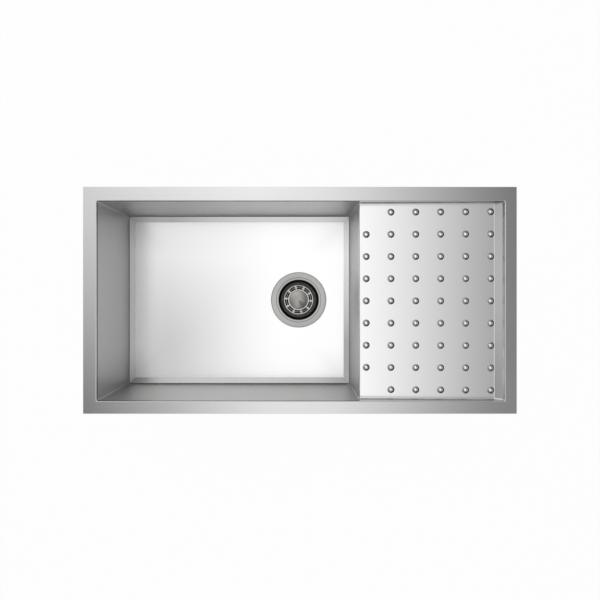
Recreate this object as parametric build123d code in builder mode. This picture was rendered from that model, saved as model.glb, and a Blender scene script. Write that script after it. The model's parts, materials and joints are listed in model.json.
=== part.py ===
from build123d import *
import os
from math import atan, cos, sin, tan

# Drop-in kitchen sink: a folded bowl, a recessed drainboard with raised domes, and a basket strainer waste.
# X runs towards the drainboard, Y towards the back edge and Z up. The origin is the plan centre of the rim
# on the worktop plane, which is the underside of the rim seal. All sizes are in millimetres.

# Rim
overall_length = 860.0
overall_width = 450.0
sheet = 1.2
rim_left = 26.5
rim_right = 23.5
rim_back = 28.0
rim_front = 25.0
rim_corner_radius = 1.0
rim_edge_round = 0.4
rim_bend = 0.4
lip_straight = 1.6
corner_radius = 2.5

# Rim seal and the worktop
worktop_thickness = 40.0
seal_thickness = 1.0
seal_width = 6.0
seal_setback = 1.0

# Bowl
bowl_depth = 203.0
floor_bevel_run = 13.0
floor_bevel_rise = 4.0
drain_setback = 120.5
recess_depth = 2.0
recess_clearance = 1.0

# Drainboard
board_length = 286.0
board_fall = 8.0
end_depth = 14.0
end_bevel_run = 14.0
end_bevel_rise = 8.0
fold_bend = 2.0
edge_bend = 1.8
edge_lip = 6.0
dome_radius = 7.2
dome_height = 3.6
dome_pitch_x = 50.0
dome_pitch_y = 45.0
dome_setback = 14.5
dome_margin = 3.0

# Hat channels under the drainboard
brace_width = 24.0
brace_height = 15.0
brace_flange = 12.0
brace_bend = 1.0
brace_inset = 60.0
brace_end_gap = 12.0

# Sound pads
pad_thickness = 3.0
pad_corner = 8.0
pad_margin = 20.0

# Rim studs, claws and nuts
stud_radius = 2.5
stud_base_radius = 4.0
stud_base_height = 1.0
stud_spare = 4.0
stud_chamfer = 0.6
clip_inset = 105.0
claw_reach = 24.0
claw_width = 10.0
claw_sheet = 2.0
claw_tip_height = 7.0
claw_bend = 1.5
claw_wall_gap = 1.2
claw_slack = 2.0
claw_play = 0.1
hex_sides = 6
clip_nut_flats = 8.0
clip_nut_height = 5.0
clip_nut_flange_radius = 4.8
clip_nut_flange = 1.2

# Waste body and its clamp
flange_land = 13.0
flange_ledge = 5.0
flange_thickness = 1.6
flange_edge_round = 0.5
flange_step = 0.6
flange_step_round = 0.2
cup_radius = 48.0
cup_wall = 2.0
cup_depth = 45.0
cup_corner = 6.0
outlet_step = 1.0
outlet_wall = 3.9
outlet_length = 30.0
outlet_round = 1.5
hole_clearance = 1.5
flange_gasket_thickness = 1.0
flange_gasket_setback = 2.0
underside_gasket_thickness = 3.0
friction_washer_thickness = 0.8
clamp_width = 12.0
locknut_height = 9.0
locknut_lugs = 8
locknut_lug_width = 9.0
locknut_lug_reach = 4.0
thread_clearance = 0.1

# Tailpiece and its union
tail_radius = 19.0
tail_wall = 1.2
tail_length = 75.0
tail_flange = 1.5
tail_washer_thickness = 2.0
union_overlap = 14.0
union_lip = 3.0
union_wall = 5.0
union_play = 0.9

# Basket, knob, post and stopper
basket_rim_gap = 2.5
basket_set = 4.5
basket_depth = 17.0
basket_wall = 1.0
basket_rim_flat = 0.9
basket_taper = 9.1
basket_bend = 1.0
slot_groups = 10
slot_width = 3.4
slot_rib_angle = 11.0
slot_edge_gap = 3.6
slot_ring_pitch = 4.9
knob_radius = 22.5
knob_height = 14.0
knob_rise = 5.0
knob_rim = 3.5
knob_round = 1.2
knob_neck_radius = 9.0
knob_neck_round = 2.0
post_radius = 3.0
post_shoulder = 1.5
post_head_lap = 2.5
post_head = 2.0
post_tip = 4.0
post_play = 0.1
running_fit = 0.06
guide_width = 9.0
guide_thickness = 2.5
guide_drop = 14.0
stopper_lap = 5.0
stopper_seal_thickness = 4.0
stopper_plate_radius = 18.0
stopper_plate_thickness = 1.0
stopper_nut_flats = 10.0
stopper_nut_height = 5.0
seat_gap = 0.3

# Levels of the rim
deck_under = seal_thickness
deck_top = deck_under + sheet
rim_outer_bend = rim_bend + sheet
lip_depth = rim_outer_bend + lip_straight
lip_bottom = deck_top - lip_depth

# Faces of the opening and the bowl
left_face = -overall_length / 2 + rim_left
right_face = overall_length / 2 - rim_right
back_face = overall_width / 2 - rim_back
front_face = -overall_width / 2 + rim_front
opening_length = right_face - left_face
opening_width = back_face - front_face
opening_x = (left_face + right_face) / 2
opening_y = (front_face + back_face) / 2
bowl_end = right_face - board_length
bowl_length = bowl_end - left_face
bowl_x = (left_face + bowl_end) / 2
floor_top = deck_top - bowl_depth
floor_under = floor_top - sheet
floor_bevel_top = floor_top + floor_bevel_rise
floor_bevel_angle = atan(floor_bevel_rise / floor_bevel_run)
drain_x = bowl_end - drain_setback
drain_y = opening_y

# Slope of the drainboard, from the bowl's edge up to the end wall
end_level = lip_bottom - end_depth
edge_level = end_level - board_fall
board_angle = atan(board_fall / board_length)
board_run = (board_length - end_bevel_run) / cos(board_angle)
end_bevel_x = right_face - end_bevel_run
end_bevel_bottom = end_level - end_bevel_run * tan(board_angle)
end_bevel_top = end_level + end_bevel_rise
seam_level = edge_level - edge_lip
seam_x = bowl_end - corner_radius
board_along = (cos(board_angle), 0, sin(board_angle))
board_up = (-sin(board_angle), 0, cos(board_angle))
board_plane = Plane(origin=(bowl_end, opening_y, edge_level), x_dir=board_along, z_dir=board_up)
under_board = board_plane.offset(-sheet)

# Levels of the waste, from the floor's recess down to the tailpiece's end
flange_step_radius = cup_radius + flange_ledge
flange_radius = flange_step_radius + flange_land
recess_radius = flange_radius + recess_clearance
recess_floor = floor_top - recess_depth
flange_under = recess_floor + flange_gasket_thickness
flange_top = flange_under + flange_thickness
cup_outer = cup_radius + cup_wall
cup_floor = flange_top - cup_depth
cup_under = cup_floor - cup_wall
outlet_radius = tail_radius + outlet_step
outlet_outer = outlet_radius + outlet_wall
outlet_end = cup_under - outlet_length
clamp_top = recess_floor - sheet
washer_top = clamp_top - underside_gasket_thickness
locknut_top = washer_top - friction_washer_thickness
clamp_radius = cup_outer + clamp_width
tail_top = outlet_end - tail_washer_thickness
tail_end = tail_top - tail_length
tail_bore = tail_radius - tail_wall
waste_hole = cup_outer + hole_clearance
waste_plane = Plane(origin=(drain_x, drain_y, 0), x_dir=(1, 0, 0), z_dir=(0, -1, 0))
waste_axis = Axis((drain_x, drain_y, 0), (0, 0, 1))

# Levels of the basket and its stopper
basket_radius = cup_radius - basket_rim_gap
basket_plate_radius = basket_radius - basket_rim_flat - basket_taper
slot_outer_ring = basket_plate_radius - slot_edge_gap
slot_inner_ring = slot_outer_ring - slot_ring_pitch
slot_sweep = 360.0 / slot_groups - slot_rib_angle
basket_top = flange_top - basket_set
plate_top = basket_top - basket_depth
plate_under = plate_top - basket_wall
post_hole = post_radius + running_fit
post_body_radius = post_radius + post_shoulder
post_head_radius = post_radius + post_head_lap
stopper_bottom = cup_floor + seat_gap
stopper_top = stopper_bottom + stopper_seal_thickness
stopper_plate_top = stopper_top + stopper_plate_thickness
guide_top = cup_under - guide_drop
post_end = guide_top - guide_thickness - post_tip

# Levels of the claws, slack under a worktop of the stated thickness
claw_level = -worktop_thickness - claw_slack - claw_tip_height
clip_nut_top = claw_level - claw_play
clip_nut_bottom = clip_nut_top - clip_nut_flange - clip_nut_height
stud_end = clip_nut_bottom - stud_spare


def level(height, x=0.0, y=0.0):
    """A horizontal plane at a height, with its origin over a point of the plan."""
    return Plane(origin=(x, y, height))


def save(piece, name):
    """Label a finished piece and write it to its own file."""
    piece.label = name
    export_step(piece, f"parts/{name}.step")


def pushed_out(corners, wall):
    """Corners of a chain of folds, after each run moves to its right by a wall."""
    points = [Vector(*corner) for corner in corners]
    runs = [(after - before).normalized() for before, after in zip(points, points[1:])]
    moved = []
    for point, coming, going in zip(points, [runs[0], *runs], [*runs, runs[-1]]):
        lean = (coming.X * going.Y - coming.Y * going.X) / (1 + coming.dot(going))
        moved.append(point + Vector(coming.Y, -coming.X) * wall + coming * wall * lean)
    return moved


def bowl_form(grow):
    """The bowl's hollow with its floor bevels and drain recess, grown on all sides by a wall."""
    half_length = bowl_length / 2 + grow
    half_width = opening_width / 2 + grow
    bottom = floor_top - grow
    bevel_inset = floor_bevel_run + grow - grow * tan(floor_bevel_angle / 2)
    with BuildPart() as form:
        with BuildSketch(level(bottom, bowl_x, opening_y)):
            RectangleRounded(2 * half_length, 2 * half_width, corner_radius + grow)
        extrude(amount=lip_bottom - bottom)
        for side in (-1, 1):
            bevel_x = bowl_x + side * (half_length - bevel_inset)
            bevel_y = opening_y + side * (half_width - bevel_inset)
            end_up = (-side * sin(floor_bevel_angle), 0, cos(floor_bevel_angle))
            long_up = (0, -side * sin(floor_bevel_angle), cos(floor_bevel_angle))
            split(bisect_by=Plane(origin=(bevel_x, opening_y, bottom), z_dir=end_up), keep=Keep.TOP)
            split(bisect_by=Plane(origin=(bowl_x, bevel_y, bottom), z_dir=long_up), keep=Keep.TOP)
        with BuildSketch(level(recess_floor - grow, drain_x, drain_y)):
            Circle(recess_radius + grow)
        extrude(amount=recess_depth + sheet)
    return form.part


def tray_form(grow):
    """The hollow over the drainboard and a strip of the bowl beside it, grown by a wall."""
    spill_x = seam_x - 2 * corner_radius
    corners = [
        (bowl_end, seam_level),
        (bowl_end, edge_level),
        (end_bevel_x, end_bevel_bottom),
        (right_face, end_bevel_top),
        (right_face, lip_bottom),
    ]
    with BuildPart() as form:
        with BuildSketch(Plane.XZ.offset(-opening_y)):
            with BuildLine():
                edge_radius = edge_bend + sheet - grow
                end_radius = fold_bend + grow
                folds = FilletPolyline(*pushed_out(corners, grow), radius=[edge_radius, end_radius, end_radius])
                Polyline(folds @ 1, (spill_x, lip_bottom), (spill_x, seam_level), folds @ 0)
            make_face()
        extrude(amount=opening_width / 2 + grow, both=True)
        middle_x = (bowl_end + right_face) / 2
        middle_z = edge_level + (middle_x - bowl_end) * tan(board_angle) - grow / cos(board_angle)
        for side in (-1, 1):
            side_y = opening_y + side * (opening_width / 2 + grow)
            fold = form.edges().filter_by(GeomType.LINE).sort_by_distance((middle_x, side_y, middle_z))[0]
            fillet(fold, corner_radius + grow)
    return form.part


def ring(inner, outer, bottom, top):
    """A flat ring round the waste's axis."""
    with BuildPart() as flat_ring:
        with BuildSketch(level(bottom, drain_x, drain_y)):
            Circle(outer)
            Circle(inner, mode=Mode.SUBTRACT)
        extrude(amount=top - bottom)
    return flat_ring.part


def sound_pad(place, length, width):
    """A flat rubber pad with rounded corners, on the outside of a wall."""
    with BuildPart() as pad:
        with BuildSketch(place):
            RectangleRounded(length, width, pad_corner)
        extrude(amount=pad_thickness)
    return pad.part


def hat_channel(along_board):
    """A hat channel across the drainboard's underside, its flanges against the sheet."""
    half = brace_width / 2
    corners = [
        (-half - brace_flange, 0),
        (-half + sheet, 0),
        (-half + sheet, -brace_height + sheet),
        (half - sheet, -brace_height + sheet),
        (half - sheet, 0),
        (half + brace_flange, 0),
        (half + brace_flange, -sheet),
        (half, -sheet),
        (half, -brace_height),
        (-half, -brace_height),
        (-half, -sheet),
        (-half - brace_flange, -sheet),
    ]
    outside = brace_bend + sheet
    bends = [0, outside, brace_bend, brace_bend, outside, 0, 0, brace_bend, outside, outside, brace_bend, 0]
    middle = under_board.from_local_coords((along_board, 0, 0))
    with BuildPart() as brace:
        with BuildSketch(Plane(origin=middle, x_dir=board_along, z_dir=(0, -1, 0))):
            with BuildLine():
                FilletPolyline(*corners, radius=bends, close=True)
            make_face()
        extrude(amount=opening_width / 2 - brace_end_gap, both=True)
    return brace.part


def clip_claw(stud_at, stowed):
    """A claw on its stud, lying along the rim, with a turned-up tip that bears on the worktop."""
    place = Plane(origin=(*stud_at, claw_level), x_dir=stowed, z_dir=(0, 0, 1))
    across = Axis(place.origin, place.y_dir)
    with BuildPart() as claw:
        with BuildSketch(place):
            Circle(claw_width / 2)
            with Locations((claw_reach / 2, 0)):
                Rectangle(claw_reach, claw_width)
            Circle(stud_radius + running_fit, mode=Mode.SUBTRACT)
        extrude(amount=claw_sheet)
        with BuildSketch(place):
            with Locations((claw_reach - claw_sheet / 2, 0)):
                Rectangle(claw_sheet, claw_width)
        extrude(amount=claw_tip_height)
        inside = place.from_local_coords((claw_reach - claw_sheet, 0, claw_sheet))
        fillet(claw.edges().filter_by(across).sort_by_distance(inside)[0], claw_bend)
        outside = place.from_local_coords((claw_reach, 0, 0))
        fillet(claw.edges().filter_by(across).sort_by_distance(outside)[0], claw_bend + claw_sheet)
    return claw.part


os.makedirs("parts", exist_ok=True)

# Rim: a flat frame whose inner edge turns down into the opening
with BuildPart() as deck_frame:
    with BuildSketch(level(deck_under)):
        RectangleRounded(overall_length, overall_width, rim_corner_radius)
    extrude(amount=sheet)
    fillet(deck_frame.faces().sort_by(Axis.Z)[-1].edges(), rim_edge_round)
    with BuildSketch(level(lip_bottom, opening_x, opening_y)):
        RectangleRounded(opening_length + 2 * sheet, opening_width + 2 * sheet, corner_radius + sheet)
    extrude(amount=deck_under - lip_bottom)
    underside = deck_frame.faces().filter_by(Axis.Z).sort_by(Axis.Z)[1]
    fillet(underside.inner_wires().edges(), rim_bend)
    with BuildSketch(level(lip_bottom, opening_x, opening_y)):
        RectangleRounded(opening_length, opening_width, corner_radius)
    extrude(amount=lip_depth, mode=Mode.SUBTRACT)
    fillet(deck_frame.faces().sort_by(Axis.Z)[-1].inner_wires().edges(), rim_outer_bend)
save(deck_frame.part, "deck_frame")

# Foam strip under the rim, on the worktop
with BuildPart() as rim_seal:
    seal_length = overall_length - 2 * seal_setback
    seal_depth = overall_width - 2 * seal_setback
    with BuildSketch(level(0)):
        Rectangle(seal_length, seal_depth)
        Rectangle(seal_length - 2 * seal_width, seal_depth - 2 * seal_width, mode=Mode.SUBTRACT)
    extrude(amount=seal_thickness)
save(rim_seal.part, "rim_seal")

# Bowl: walls and floor folded from one sheet, lower at the side that meets the drainboard
bowl_outside = bowl_form(sheet)
bowl_inside = bowl_form(0.0)
with BuildPart() as bowl_shell:
    add(bowl_outside)
    add(bowl_inside, mode=Mode.SUBTRACT)
    with BuildSketch(level(seam_level, seam_x, opening_y)):
        Rectangle(board_length, overall_width, align=(Align.MIN, Align.CENTER))
    extrude(amount=lip_bottom - seam_level, mode=Mode.SUBTRACT)
    with BuildSketch(level(recess_floor, drain_x, drain_y)):
        Circle(waste_hole)
    extrude(amount=-sheet, mode=Mode.SUBTRACT)
save(bowl_shell.part, "bowl_shell")

# Domes: balls that stand out of the drainboard, and smaller balls that hollow them from below
dome_ball = (dome_radius**2 + dome_height**2) / (2 * dome_height)
dome_rows = 2 * int((opening_width / 2 - corner_radius - dome_radius - dome_margin) / dome_pitch_y) + 1
dome_columns = int((board_run - dome_setback - dome_radius) / dome_pitch_x) + 1
dome_spots = [
    (dome_setback + column * dome_pitch_x, (row - dome_rows // 2) * dome_pitch_y, dome_height - dome_ball)
    for column in range(dome_columns)
    for row in range(dome_rows)
    if column > 0 or 0 < row < dome_rows - 1
]
with BuildPart(board_plane) as dome_caps:
    with Locations(*dome_spots):
        Sphere(dome_ball)
    split(bisect_by=board_plane.offset(-sheet / 2), keep=Keep.TOP)
with BuildPart(board_plane) as dome_hollows:
    with Locations(*dome_spots):
        Sphere(dome_ball - sheet)

# Drainboard: a sloping sheet folded up at three sides and down into the bowl at the fourth
tray_outside = tray_form(sheet)
tray_inside = tray_form(0.0)
with BuildPart() as drainboard_panel:
    add(tray_outside)
    add(tray_inside, mode=Mode.SUBTRACT)
    with BuildSketch(level(seam_level, seam_x, opening_y)):
        Rectangle(bowl_length, overall_width, align=(Align.MAX, Align.CENTER))
    extrude(amount=lip_bottom - seam_level, mode=Mode.SUBTRACT)
    add(dome_caps.part)
    add(dome_hollows.part, mode=Mode.SUBTRACT)
save(drainboard_panel.part, "drainboard_panel")

# Hat channels and sound pads
inner_brace_at = brace_inset
outer_brace_at = board_run - brace_inset
save(hat_channel(inner_brace_at), "drainboard_brace_inner")
save(hat_channel(outer_brace_at), "drainboard_brace_outer")

wall_pad_top = stud_end - pad_margin
wall_pad_bottom = floor_bevel_top + pad_margin
wall_pad_height = wall_pad_top - wall_pad_bottom
wall_pad_z = (wall_pad_top + wall_pad_bottom) / 2
long_pad = bowl_length - 2 * floor_bevel_run - 2 * pad_margin
short_pad = opening_width - 2 * floor_bevel_run - 2 * pad_margin
back_place = Plane(origin=(bowl_x, back_face + sheet, wall_pad_z), x_dir=(1, 0, 0), z_dir=(0, 1, 0))
front_place = Plane(origin=(bowl_x, front_face - sheet, wall_pad_z), x_dir=(1, 0, 0), z_dir=(0, -1, 0))
left_place = Plane(origin=(left_face - sheet, opening_y, wall_pad_z), x_dir=(0, 1, 0), z_dir=(-1, 0, 0))
right_place = Plane(origin=(bowl_end + sheet, opening_y, wall_pad_z), x_dir=(0, 1, 0), z_dir=(1, 0, 0))
save(sound_pad(back_place, long_pad, wall_pad_height), "back_wall_pad")
save(sound_pad(front_place, long_pad, wall_pad_height), "front_wall_pad")
save(sound_pad(left_place, short_pad, wall_pad_height), "left_wall_pad")
save(sound_pad(right_place, short_pad, wall_pad_height), "right_wall_pad")

floor_pad_start = left_face + floor_bevel_run + pad_margin
floor_pad_end = drain_x - recess_radius - sheet - pad_margin
floor_pad_x = (floor_pad_start + floor_pad_end) / 2
floor_place = Plane(origin=(floor_pad_x, opening_y, floor_under), x_dir=(1, 0, 0), z_dir=(0, 0, -1))
save(sound_pad(floor_place, floor_pad_end - floor_pad_start, short_pad), "floor_pad")

brace_gap = outer_brace_at - inner_brace_at - brace_width - 2 * brace_flange
board_pad_at = under_board.from_local_coords(((inner_brace_at + outer_brace_at) / 2, 0, 0))
board_place = Plane(origin=board_pad_at, x_dir=board_along, z_dir=-Vector(*board_up))
save(sound_pad(board_place, brace_gap - pad_margin, short_pad), "drainboard_pad")

# Studs under the rim, each with a nut and a claw that lies along the wall
stud_offset = sheet + claw_wall_gap + claw_width / 2
back_stud_y = back_face + stud_offset
front_stud_y = front_face - stud_offset
left_stud_x = left_face - stud_offset
right_stud_x = right_face + stud_offset
clips = {
    "claw_back_left": ((left_face + clip_inset, back_stud_y), (1, 0, 0)),
    "claw_back_middle": ((opening_x, back_stud_y), (1, 0, 0)),
    "claw_back_right": ((right_face - clip_inset, back_stud_y), (1, 0, 0)),
    "claw_front_left": ((left_face + clip_inset, front_stud_y), (-1, 0, 0)),
    "claw_front_middle": ((opening_x, front_stud_y), (-1, 0, 0)),
    "claw_front_right": ((right_face - clip_inset, front_stud_y), (-1, 0, 0)),
    "claw_left": ((left_stud_x, opening_y), (0, 1, 0)),
    "claw_right": ((right_stud_x, opening_y), (0, -1, 0)),
}
stud_spots = [stud_at for stud_at, stowed in clips.values()]
for claw_name, (stud_at, stowed) in clips.items():
    save(clip_claw(stud_at, stowed), claw_name)

with BuildPart() as rim_studs:
    with BuildSketch(level(deck_under)):
        with Locations(*stud_spots):
            Circle(stud_radius)
    extrude(amount=stud_end - deck_under)
    chamfer(rim_studs.faces().group_by(Axis.Z)[0].edges(), stud_chamfer)
    with BuildSketch(level(deck_under)):
        with Locations(*stud_spots):
            Circle(stud_base_radius)
    extrude(amount=-stud_base_height)
save(rim_studs.part, "rim_studs")

with BuildPart() as clip_nuts:
    with BuildSketch(level(clip_nut_top)):
        with Locations(*stud_spots):
            Circle(clip_nut_flange_radius)
    extrude(amount=-clip_nut_flange)
    with BuildSketch(level(clip_nut_top - clip_nut_flange)):
        with Locations(*stud_spots):
            RegularPolygon(clip_nut_flats / 2, hex_sides, major_radius=False)
    extrude(amount=-clip_nut_height)
    with BuildSketch(level(clip_nut_top)):
        with Locations(*stud_spots):
            Circle(stud_radius + thread_clearance)
    extrude(amount=clip_nut_bottom - clip_nut_top, mode=Mode.SUBTRACT)
save(clip_nuts.part, "clip_nuts")

# Waste body: flange, cup and threaded outlet in one turned shape
with BuildPart() as strainer_body:
    step_level = flange_top - flange_step
    flange_rounds = [flange_edge_round, flange_step_round, flange_step_round, flange_edge_round]
    cup_rounds = [cup_corner, outlet_round, 0, 0, 0, cup_corner + cup_wall]
    rounds = [*flange_rounds, *cup_rounds, 0, flange_edge_round]
    with BuildSketch(waste_plane):
        with BuildLine():
            FilletPolyline(
                (flange_radius, flange_top),
                (flange_step_radius, flange_top),
                (flange_step_radius, step_level),
                (cup_radius, step_level),
                (cup_radius, cup_floor),
                (outlet_radius, cup_floor),
                (outlet_radius, outlet_end),
                (outlet_outer, outlet_end),
                (outlet_outer, cup_under),
                (cup_outer, cup_under),
                (cup_outer, flange_under),
                (flange_radius, flange_under),
                radius=rounds,
                close=True,
            )
        make_face()
    revolve(axis=waste_axis)
save(strainer_body.part, "strainer_body")

# Rings that seal and clamp the waste body to the floor
gasket_radius = flange_radius - flange_gasket_setback
clamp_bore = cup_outer + thread_clearance
save(ring(waste_hole, gasket_radius, recess_floor, flange_under), "flange_gasket")
save(ring(clamp_bore, clamp_radius, washer_top, clamp_top), "underside_gasket")
save(ring(clamp_bore, clamp_radius, locknut_top, washer_top), "friction_washer")

with BuildPart() as locknut:
    with BuildSketch(level(locknut_top, drain_x, drain_y)):
        Circle(clamp_radius - locknut_lug_reach)
        with PolarLocations(clamp_radius - locknut_lug_reach, locknut_lugs):
            Rectangle(2 * locknut_lug_reach, locknut_lug_width)
        Circle(clamp_bore, mode=Mode.SUBTRACT)
    extrude(amount=-locknut_height)
save(locknut.part, "locknut")

# Cross bar in the outlet, with a hole that guides the post
with BuildPart() as post_guide:
    with BuildSketch(level(guide_top, drain_x, drain_y)):
        Circle(outlet_radius - thread_clearance)
        Rectangle(2 * outlet_radius, guide_width, mode=Mode.INTERSECT)
        Circle(post_hole, mode=Mode.SUBTRACT)
    extrude(amount=-guide_thickness)
save(post_guide.part, "post_guide")

# Tailpiece, hung by its flange in a union nut on the outlet
tail_flange_radius = outlet_outer - thread_clearance
save(ring(tail_bore, tail_flange_radius, tail_top, outlet_end), "tailpiece_washer")
with BuildPart() as tailpiece:
    with BuildSketch(waste_plane):
        with BuildLine():
            Polyline(
                (tail_bore, tail_top),
                (tail_flange_radius, tail_top),
                (tail_flange_radius, tail_top - tail_flange),
                (tail_radius, tail_top - tail_flange),
                (tail_radius, tail_end),
                (tail_bore, tail_end),
                close=True,
            )
        make_face()
    revolve(axis=waste_axis)
save(tailpiece.part, "tailpiece")

with BuildPart() as coupling_nut:
    union_bore = outlet_outer + thread_clearance
    union_top = outlet_end + union_overlap
    union_bottom = tail_top - tail_flange - union_lip
    with BuildSketch(level(union_bottom, drain_x, drain_y)):
        RegularPolygon(union_bore + union_wall, hex_sides, major_radius=False)
        Circle(tail_radius + union_play, mode=Mode.SUBTRACT)
    extrude(amount=union_top - union_bottom)
    with BuildSketch(level(union_top, drain_x, drain_y)):
        Circle(union_bore)
    extrude(amount=union_bottom + union_lip - union_top, mode=Mode.SUBTRACT)
save(coupling_nut.part, "coupling_nut")

# Basket: a funnel with a slotted plate at the bottom
with BuildPart() as strainer_basket:
    with BuildSketch(waste_plane):
        with BuildLine():
            FilletPolyline(
                (basket_radius, basket_top),
                (basket_radius - basket_rim_flat, basket_top),
                (basket_plate_radius, plate_top),
                (post_hole, plate_top),
                radius=[basket_bend, basket_bend],
            )
            offset(amount=basket_wall, side=Side.LEFT)
        make_face()
    revolve(axis=waste_axis)
    with BuildSketch(level(plate_top, drain_x, drain_y)):
        with PolarLocations(0, slot_groups):
            for slot_ring in (slot_inner_ring, slot_outer_ring):
                SlotArc(Edge.make_circle(slot_ring, start_angle=0, end_angle=slot_sweep), slot_width)
    extrude(amount=-basket_wall, mode=Mode.SUBTRACT)
save(strainer_basket.part, "strainer_basket")

# Knob: a disc with a low conical face, on a neck that is hollow below for the post's head
with BuildPart() as basket_knob:
    knob_top = plate_top + knob_height
    knob_edge = knob_top - knob_rise
    knob_under = knob_edge - knob_rim
    head_top = plate_top + post_play + post_head + post_play
    with BuildSketch(waste_plane):
        with BuildLine():
            FilletPolyline(
                (0, knob_top),
                (knob_radius, knob_edge),
                (knob_radius, knob_under),
                (knob_neck_radius, knob_under),
                (knob_neck_radius, plate_top),
                (post_head_radius + post_play, plate_top),
                (post_head_radius + post_play, head_top),
                (0, head_top),
                radius=[knob_round, knob_round, knob_neck_round, 0, 0, 0],
            )
            Line((0, head_top), (0, knob_top))
        make_face()
    revolve(axis=waste_axis)
save(basket_knob.part, "basket_knob")

# Post: a head over the basket's plate, a body under it and a shank through the stopper and the guide
with BuildPart() as basket_post:
    head_under = plate_top + post_play
    body_top = plate_under - post_play
    with BuildSketch(waste_plane):
        with BuildLine():
            Polyline(
                (0, head_under + post_head),
                (post_head_radius, head_under + post_head),
                (post_head_radius, head_under),
                (post_radius, head_under),
                (post_radius, body_top),
                (post_body_radius, body_top),
                (post_body_radius, stopper_plate_top),
                (post_radius, stopper_plate_top),
                (post_radius, post_end),
                (0, post_end),
                close=True,
            )
        make_face()
    revolve(axis=waste_axis)
save(basket_post.part, "basket_post")

# Stopper: a rubber disc over the outlet, between a steel plate and a nut
save(ring(post_hole, stopper_plate_radius, stopper_top, stopper_plate_top), "stopper_plate")
save(ring(post_hole, outlet_radius + stopper_lap, stopper_bottom, stopper_top), "stopper_seal")
with BuildPart() as stopper_nut:
    with BuildSketch(level(stopper_bottom, drain_x, drain_y)):
        RegularPolygon(stopper_nut_flats / 2, hex_sides, major_radius=False)
        Circle(post_hole, mode=Mode.SUBTRACT)
    extrude(amount=-stopper_nut_height)
save(stopper_nut.part, "stopper_nut")
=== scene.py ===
"""Looks of a drop-in stainless steel sink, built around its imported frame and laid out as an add-on."""

import json
from math import atan2, cos, pi, radians, sin, tan, tau

import bmesh
import bpy
from bpy.props import FloatProperty, FloatVectorProperty, IntProperty, PointerProperty
from bpy.types import Operator, Panel, PropertyGroup
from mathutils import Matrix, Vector


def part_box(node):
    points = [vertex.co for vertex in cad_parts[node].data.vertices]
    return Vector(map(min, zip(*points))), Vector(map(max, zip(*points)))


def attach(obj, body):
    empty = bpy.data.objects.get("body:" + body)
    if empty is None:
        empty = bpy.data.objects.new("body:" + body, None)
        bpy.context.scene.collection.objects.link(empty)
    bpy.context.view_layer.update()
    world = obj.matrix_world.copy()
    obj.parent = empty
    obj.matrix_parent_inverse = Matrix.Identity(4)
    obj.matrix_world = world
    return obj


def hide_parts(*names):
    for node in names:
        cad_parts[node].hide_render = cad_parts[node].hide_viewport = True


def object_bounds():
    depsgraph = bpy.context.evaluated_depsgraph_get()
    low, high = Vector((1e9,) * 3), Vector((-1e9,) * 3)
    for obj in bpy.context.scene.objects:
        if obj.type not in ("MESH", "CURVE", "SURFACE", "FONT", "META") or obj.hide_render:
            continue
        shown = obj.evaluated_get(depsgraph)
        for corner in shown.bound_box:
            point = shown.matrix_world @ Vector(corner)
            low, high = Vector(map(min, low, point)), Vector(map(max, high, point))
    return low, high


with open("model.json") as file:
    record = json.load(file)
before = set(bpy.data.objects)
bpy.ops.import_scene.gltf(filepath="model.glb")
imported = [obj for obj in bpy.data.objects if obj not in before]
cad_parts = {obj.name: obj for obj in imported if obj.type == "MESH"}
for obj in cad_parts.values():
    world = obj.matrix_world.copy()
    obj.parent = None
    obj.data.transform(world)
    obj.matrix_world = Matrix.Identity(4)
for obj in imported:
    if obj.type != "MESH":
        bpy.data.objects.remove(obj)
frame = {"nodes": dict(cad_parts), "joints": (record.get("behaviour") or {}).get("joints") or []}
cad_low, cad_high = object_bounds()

bl_info = {
    "name": "Drop-in Sink",
    "version": (1, 0, 0),
    "blender": (4, 5, 0),
    "location": "View3D > Sidebar > Sink",
    "description": "Builds the finished pieces of a stainless steel sink and sets its stage",
    "category": "Object",
}

MM = 0.001
HEX_SIDES = 6
UP = Vector((0, 0, 1))
BLACK = (0, 0, 0)
WHITE = (1, 1, 1)

# Distances at which points count as one, and angles from which edges are eased and shaded as sharp
TINY = 0.001 * MM
SAME_POINT = 0.002 * MM
EASED_FROM = radians(40)
SHARP_FROM = radians(35)

# Parts of a face's normal: along an axis, and the levels of walls, edges, bevels, domes and the basket
FACING = 0.7
BEVEL_LEAN = 0.1
WALL_LEVEL = 0.5
EDGE_LEVEL = 0.2
BEVEL_LEVELS = (0.85, 0.97)
DOME_LEVELS = (0.86, 0.98)
BASKET_LEVELS = (0.6, 0.9)

# Painted shade of the domes' flanks: in the middle, towards the board's far end and front, and at the least
DOME_MIDDLE = 0.75
DOME_TO_END = 0.7
DOME_TO_FRONT = 0.25
DOME_LEAST = 0.45
LONG_FOLD_PART = 0.5

# Growth of the end bevel's painted shade for each metre towards the back
END_GROWTH = 1.2

# Marks of the brush and the lathe in a metre, along and across the grain
BRUSH_ALONG = 7.0
BRUSH_ACROSS = 1400.0
LATHE_MARKS = 1500.0

PADS = sorted(name for name in frame["nodes"] if name.endswith("_pad"))
BRACES = sorted(name for name in frame["nodes"] if name.startswith("drainboard_brace"))
CLAW_STUDS = {
    joint["child"]: Vector(joint["pos_m"]) for joint in frame["joints"] if joint["child"].startswith("claw_")
}

deck_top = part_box("deck_frame")[1].z
bowl_low, bowl_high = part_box("bowl_shell")
board_low, board_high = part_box("drainboard_panel")
body_low, body_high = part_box("strainer_body")
drain = (body_low + body_high) / 2
finishes = {}


def colour(name, description, default):
    """A colour that a user may change."""
    return FloatVectorProperty(
        name=name, description=description, subtype="COLOR", size=3, min=0.0, max=1.0, default=default
    )


def length(name, description, default):
    """A length, given in millimetres, that a user may change."""
    return FloatProperty(
        name=name, description=description, subtype="DISTANCE", min=0.0, default=default * MM
    )


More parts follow.
